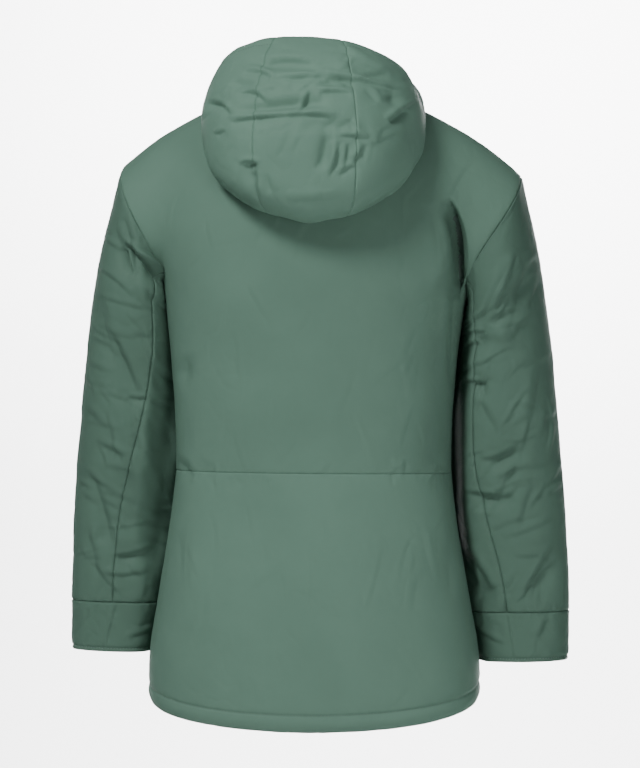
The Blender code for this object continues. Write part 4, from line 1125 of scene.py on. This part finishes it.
def hood_turns():
    """Angles round the neck, in even steps between the panel seams and the zip."""
    neck = np.linspace(0, NECK_SHARE, 6) / NECK_SHARE * math.pi / 2
    front = math.pi - np.concatenate([neck[-2:0:-1], [ZIP_SHARE / NECK_SHARE * math.pi / 2]])
    half = split(np.concatenate([neck, front]), 2)
    return np.concatenate([-half[:0:-1], half])


def hood_panels(cover):
    turns = hood_turns()
    coarse = hood(turns, HOOD_ROWS, cover)
    middle = (len(turns) - 1) // 2
    cuts = (
        ("hood_left", 0, middle - HOOD_SEAM, HOOD_SIDE_STEPS, ("top", "left")),
        ("hood_centre", middle - HOOD_SEAM, middle + HOOD_SEAM, HOOD_CENTRE_STEPS, ("top",)),
        ("hood_right", middle + HOOD_SEAM, len(turns) - 1, HOOD_SIDE_STEPS, ("top", "right")),
    )
    looks = dict(folds=HOOD_FOLDS, creases=HOOD_CREASES + HOOD_STREWN, ripple=1.1, seed=61)
    looks.update(pucker=0.3, angled=("bottom",), seam_dip=HOOD_SEAM_DIP)
    panels = []
    for name, start, end, across, free in cuts:
        whole = finer(coarse, HOOD_ROW_STEPS, across)
        grid = whole[:, start * across : end * across + 1]
        panels.append(Panel(name, grid, free=free, stitched={"top": HOOD_HEM}, **looks))
    return panels


# ---- the zip ----
def zip_path(cover):
    """The middle line of the fronts and of the hood's stand above them, from the hem upwards."""
    front = torso(np.array([0.0]), ZIP_LEVELS, np.linspace(0, 1, 10), 1)[:, 0]
    stand = hood(np.array([math.pi]), HOOD_ROWS[HOOD_ROWS <= TAPE_TOP], cover)[:, 0]
    return np.concatenate([front, stand[1:]])


def along_path(path, at):
    """Points at lengths along a path, the direction there, and the normal that faces the front."""
    lengths = lengths_along(path)
    along = unit(read_at(np.gradient(path, lengths, axis=0), lengths, at))
    return read_at(path, lengths, at), along, unit(np.cross(along, [1.0, 0.0, 0.0])), lengths[-1]


TOOTH_PITCH = 3.2
TOOTH = (2.3, 1.05, 1.3)  # half sizes across, along and deep
TOOTH_OFFSET = 0.75
TOOTH_DEPTH = 2.6
TOOTH_TIP = 0.62
TOOTH_BEVEL = 0.25


def zip_tape(side, path, material):
    """A flat woven tape beside the teeth, with a thin raised edge."""
    total = along_path(path, np.array([0.0]))[3]
    points, _, normals, _ = along_path(path, np.arange(0, total, 3.0))
    across = np.array([0.0, 0.7, 1.6, 3.4, 5.4, 7.4, 9.2, TAPE_WIDTH])
    raised = np.array([0.5, 0.5, 0.0, 0.0, 0.0, 0.0, 0.0, 0.0])
    x = side * (TAPE_OUTER - TAPE_WIDTH + across)
    layers = []
    for depth in (TAPE_DEPTH[1], TAPE_DEPTH[0]):
        lift = depth + (raised if depth == TAPE_DEPTH[1] else 0.0)
        grid = points[:, None, :] + normals[:, None, :] * np.broadcast_to(lift, across.shape)[None, :, None]
        layers.append(grid + np.stack([x, 0 * x, 0 * x], axis=-1)[None])
    top, low = layers
    ring = np.concatenate([top, low[:, ::-1]], axis=1)
    made = quads(ring.shape[0], ring.shape[1], True)
    name = "zip_tape_cloth_" + ("left" if side < 0 else "right")
    return mesh_object(name, ring.reshape(-1, 3), made, [material]), total


def zip_teeth(path, top, material):
    """Moulded teeth, set by turns from the left and from the right, as one mesh."""
    at = np.arange(1.5, top, TOOTH_PITCH / 2)
    points, along, normals, _ = along_path(path, at)
    half_across, half_along, half_deep = TOOTH
    corners = np.array([(x, s, d) for x in (-1, 1) for s in (-1, 1) for d in (-1, 1)], float)
    faces = np.array([(0, 1, 3, 2), (4, 6, 7, 5), (0, 4, 5, 1), (2, 3, 7, 6), (0, 2, 6, 4), (1, 5, 7, 3)])
    all_points, all_faces = [], []
    for i, (point, step, normal) in enumerate(zip(points, along, normals)):
        side = -1 if i % 2 else 1
        tip = np.where(corners[:, 0] * side < 0, TOOTH_TIP, 1.0)
        x = side * TOOTH_OFFSET + corners[:, 0] * half_across
        place = point + np.outer(x, [1.0, 0.0, 0.0])
        place = place + np.outer(corners[:, 1] * half_along * 0.72 * tip, step)
        place = place + np.outer(corners[:, 2] * half_deep * tip - TOOTH_DEPTH, normal)
        all_points.append(place)
        all_faces.append(faces + 8 * i)
    made = mesh_object("zip_teeth_row", np.concatenate(all_points), np.concatenate(all_faces), [material])
    bevel = made.modifiers.new("round", "BEVEL")
    bevel.width = TOOTH_BEVEL * MM
    bevel.segments = 2
    return made


# ---- stitches ----
STITCH = (3.0, 1.2, 0.34)  # length, gap, radius
ROD_RINGS, ROD_SIDES = 6, 6


def stitch_row(name, line, normals, material):
    """Stitches along a line of points, as one mesh of small bent rods half sunk in the cloth."""
    length, gap, radius = STITCH
    lengths = lengths_along(line)
    starts = np.arange(0, lengths[-1] - length, length + gap)
    share = np.linspace(0, 1, ROD_RINGS)
    at = starts[:, None] + share * length
    centres, up = read_at(line, lengths, at), unit(read_at(normals, lengths, at))
    centres += up * (0.30 * np.sin(math.pi * share) - 0.12)[None, :, None]
    step = unit(np.gradient(centres, axis=1))
    beside = unit(np.cross(step, up))
    angle = np.linspace(0, 2 * math.pi, ROD_SIDES, endpoint=False)[:, None]
    thin = radius * np.sqrt(np.clip(1 - (2 * share - 1) ** 4, 0.12, 1))
    around = np.cos(angle) * beside[:, :, None, :] + np.sin(angle) * up[:, :, None, :]
    ring = centres[:, :, None, :] + thin[:, None, None] * around
    one = quads(ROD_RINGS, ROD_SIDES, True)
    faces = (one[None] + ROD_RINGS * ROD_SIDES * np.arange(len(starts))[:, None, None]).reshape(-1, 4)
    return mesh_object(name, ring.reshape(-1, 3), faces, [material])


def sew(panel, outer, carrier, material):
    """The panel's rows of stitches, each in its own dip and parented to the panel."""
    far = edge_distances(panel.grid, panel.closed)
    for edge, where in panel.stitched.items():
        along_rows = edge in ("bottom", "top")
        distances = far[edge].mean(axis=1) if along_rows else far[edge].mean(axis=0)
        index = np.abs(distances - where).argmin()
        line = outer[index] if along_rows else outer[:, index]
        normals = panel.normals[index] if along_rows else panel.normals[:, index]
        if panel.closed:
            line, normals = (np.concatenate([values, values[:1]]) for values in (line, normals))
        made = stitch_row("stitches_" + panel.name + "_" + edge, line, normals, material)
        made.parent = carrier


# ---- the coat ----
def dress():
    """Every panel of the coat, then its zip."""
    cover = torso_cover()
    lining, sewing = lining_cloth(), thread()
    # one copy of the shell cloth for each kind of panel, painted lighter or darker as painted light and shade
    cloths = {part: shell_cloth("parka_" + part + "_cloth", painted_tone) for part, painted_tone in PAINTED_LIGHT_TONES.items()}
    for panel in torso_panels() + sleeve_panels(cover) + hood_panels(cover):
        part = next((part for part in PAINTED_LIGHT_TONES if panel.name.startswith(part)), "shell")
        made, outer = panel_mesh(panel, cloths[part], lining)
        sew(panel, outer, made, sewing)
        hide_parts(panel.name)
        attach(made, "parka")
    dress_zip(cover)


def dress_zip(cover):
    """The tapes, teeth, slider and tab."""
    path = zip_path(cover)
    tape = tape_cloth()
    for side, name in ((-1, "left"), (1, "right")):
        made, total = zip_tape(side, path, tape)
        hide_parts("zip_tape_" + name)
        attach(made, "parka")
    stand = hood(np.array([math.pi]), np.linspace(SLIDER_AT, TAPE_TOP, 12), cover)[:, 0]
    above = np.linalg.norm(np.diff(stand, axis=0), axis=1).sum()
    teeth = zip_teeth(path, total - above - SLIDER_HALF_HEIGHT - 0.4, tooth_plastic())
    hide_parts("zip_chain")
    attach(teeth, "parka")
    metal = zip_metal()
    for node in ("zip_slider", "zip_pull_tab"):
        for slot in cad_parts[node].material_slots:
            slot.material = metal


# ---- stage ----
CAMERA_DISTANCE = 3.6
CAMERA_YAW = math.radians(4.5)
CAMERA_FOCAL = 125.0
CAMERA_TARGET = Vector((-0.00135, 0.0, -0.370))
WALL = (0.94, 0.94, 0.94)

LIGHTS = (
    # name, place, aimed at, size, watts
    ("key_soft", (-1.5, -2.5, 2.4), (0.0, 0.0, -0.3), 1.1, 141.0),
    ("fill_soft", (1.7, -2.9, -0.8), (0.1, 0.0, -0.5), 1.4, 42.0),
    ("top_soft", (-0.4, -1.1, 2.3), (0.0, 0.0, -0.2), 1.0, 8.0),
    ("wall_left", (-1.2, 4.0, 1.5), (-0.7, 6.6, -0.4), 1.0, 480.0),
    ("wall_right", (1.2, 4.0, 1.5), (0.7, 6.6, -0.4), 1.0, 480.0),
)


def stage_cloth():
    nodes = Nodes("pale_stage")
    nodes.set(Base_Color=shaded(nodes, WALL, 0.004, 1.0), Roughness=0.9, Specular_IOR_Level=0.1)
    return nodes.material


def stage():
    """A pale backdrop that curves into a floor below the coat."""
    depth, height, bend, reach = 6.6, 4.2, 1.2, 7.0
    floor = CAD_BOX[0][2] - 1.3
    profile = [(-reach, floor)]
    for turn in math.pi / 2 * np.arange(13) / 12:
        profile.append((depth - bend + bend * math.sin(turn), floor + bend - bend * math.cos(turn)))
    profile.append((depth, floor + height))
    across = np.linspace(-reach, reach, 12)
    grid = np.array([[(x, y, z) for x in across] for y, z in profile]) / MM
    faces = quads(len(profile), len(across), False)
    mesh_object("stage_sweep", grid.reshape(-1, 3), faces, [stage_cloth()])


def aimed(made, place, target):
    """Puts a lamp or camera in its place, looking at the target."""
    made.location = place
    made.rotation_euler = (Vector(target) - Vector(place)).to_track_quat("-Z", "Y").to_euler()
    bpy.context.scene.collection.objects.link(made)


def lights_and_camera():
    for name, place, target, size, watts in LIGHTS:
        lamp = bpy.data.lights.new(name, "AREA")
        lamp.shape = "DISK"
        lamp.size = size
        lamp.energy = watts
        aimed(bpy.data.objects.new(name, lamp), place, target)
    world = bpy.data.worlds.new("soft_room")
    world.use_nodes = True
    inputs = world.node_tree.nodes["Background"].inputs
    inputs["Color"].default_value = (0.9, 0.95, 1.0, 1.0)
    inputs["Strength"].default_value = 0.13
    bpy.context.scene.world = world
    view = bpy.data.cameras.new("camera")
    view.lens = CAMERA_FOCAL
    view.dof.use_dof = False
    ahead = Vector((-math.sin(CAMERA_YAW), math.cos(CAMERA_YAW), 0.0))
    camera = bpy.data.objects.new("camera", view)
    aimed(camera, CAMERA_TARGET - CAMERA_DISTANCE * ahead, CAMERA_TARGET)
    bpy.context.scene.camera = camera


dress()
stage()
lights_and_camera()
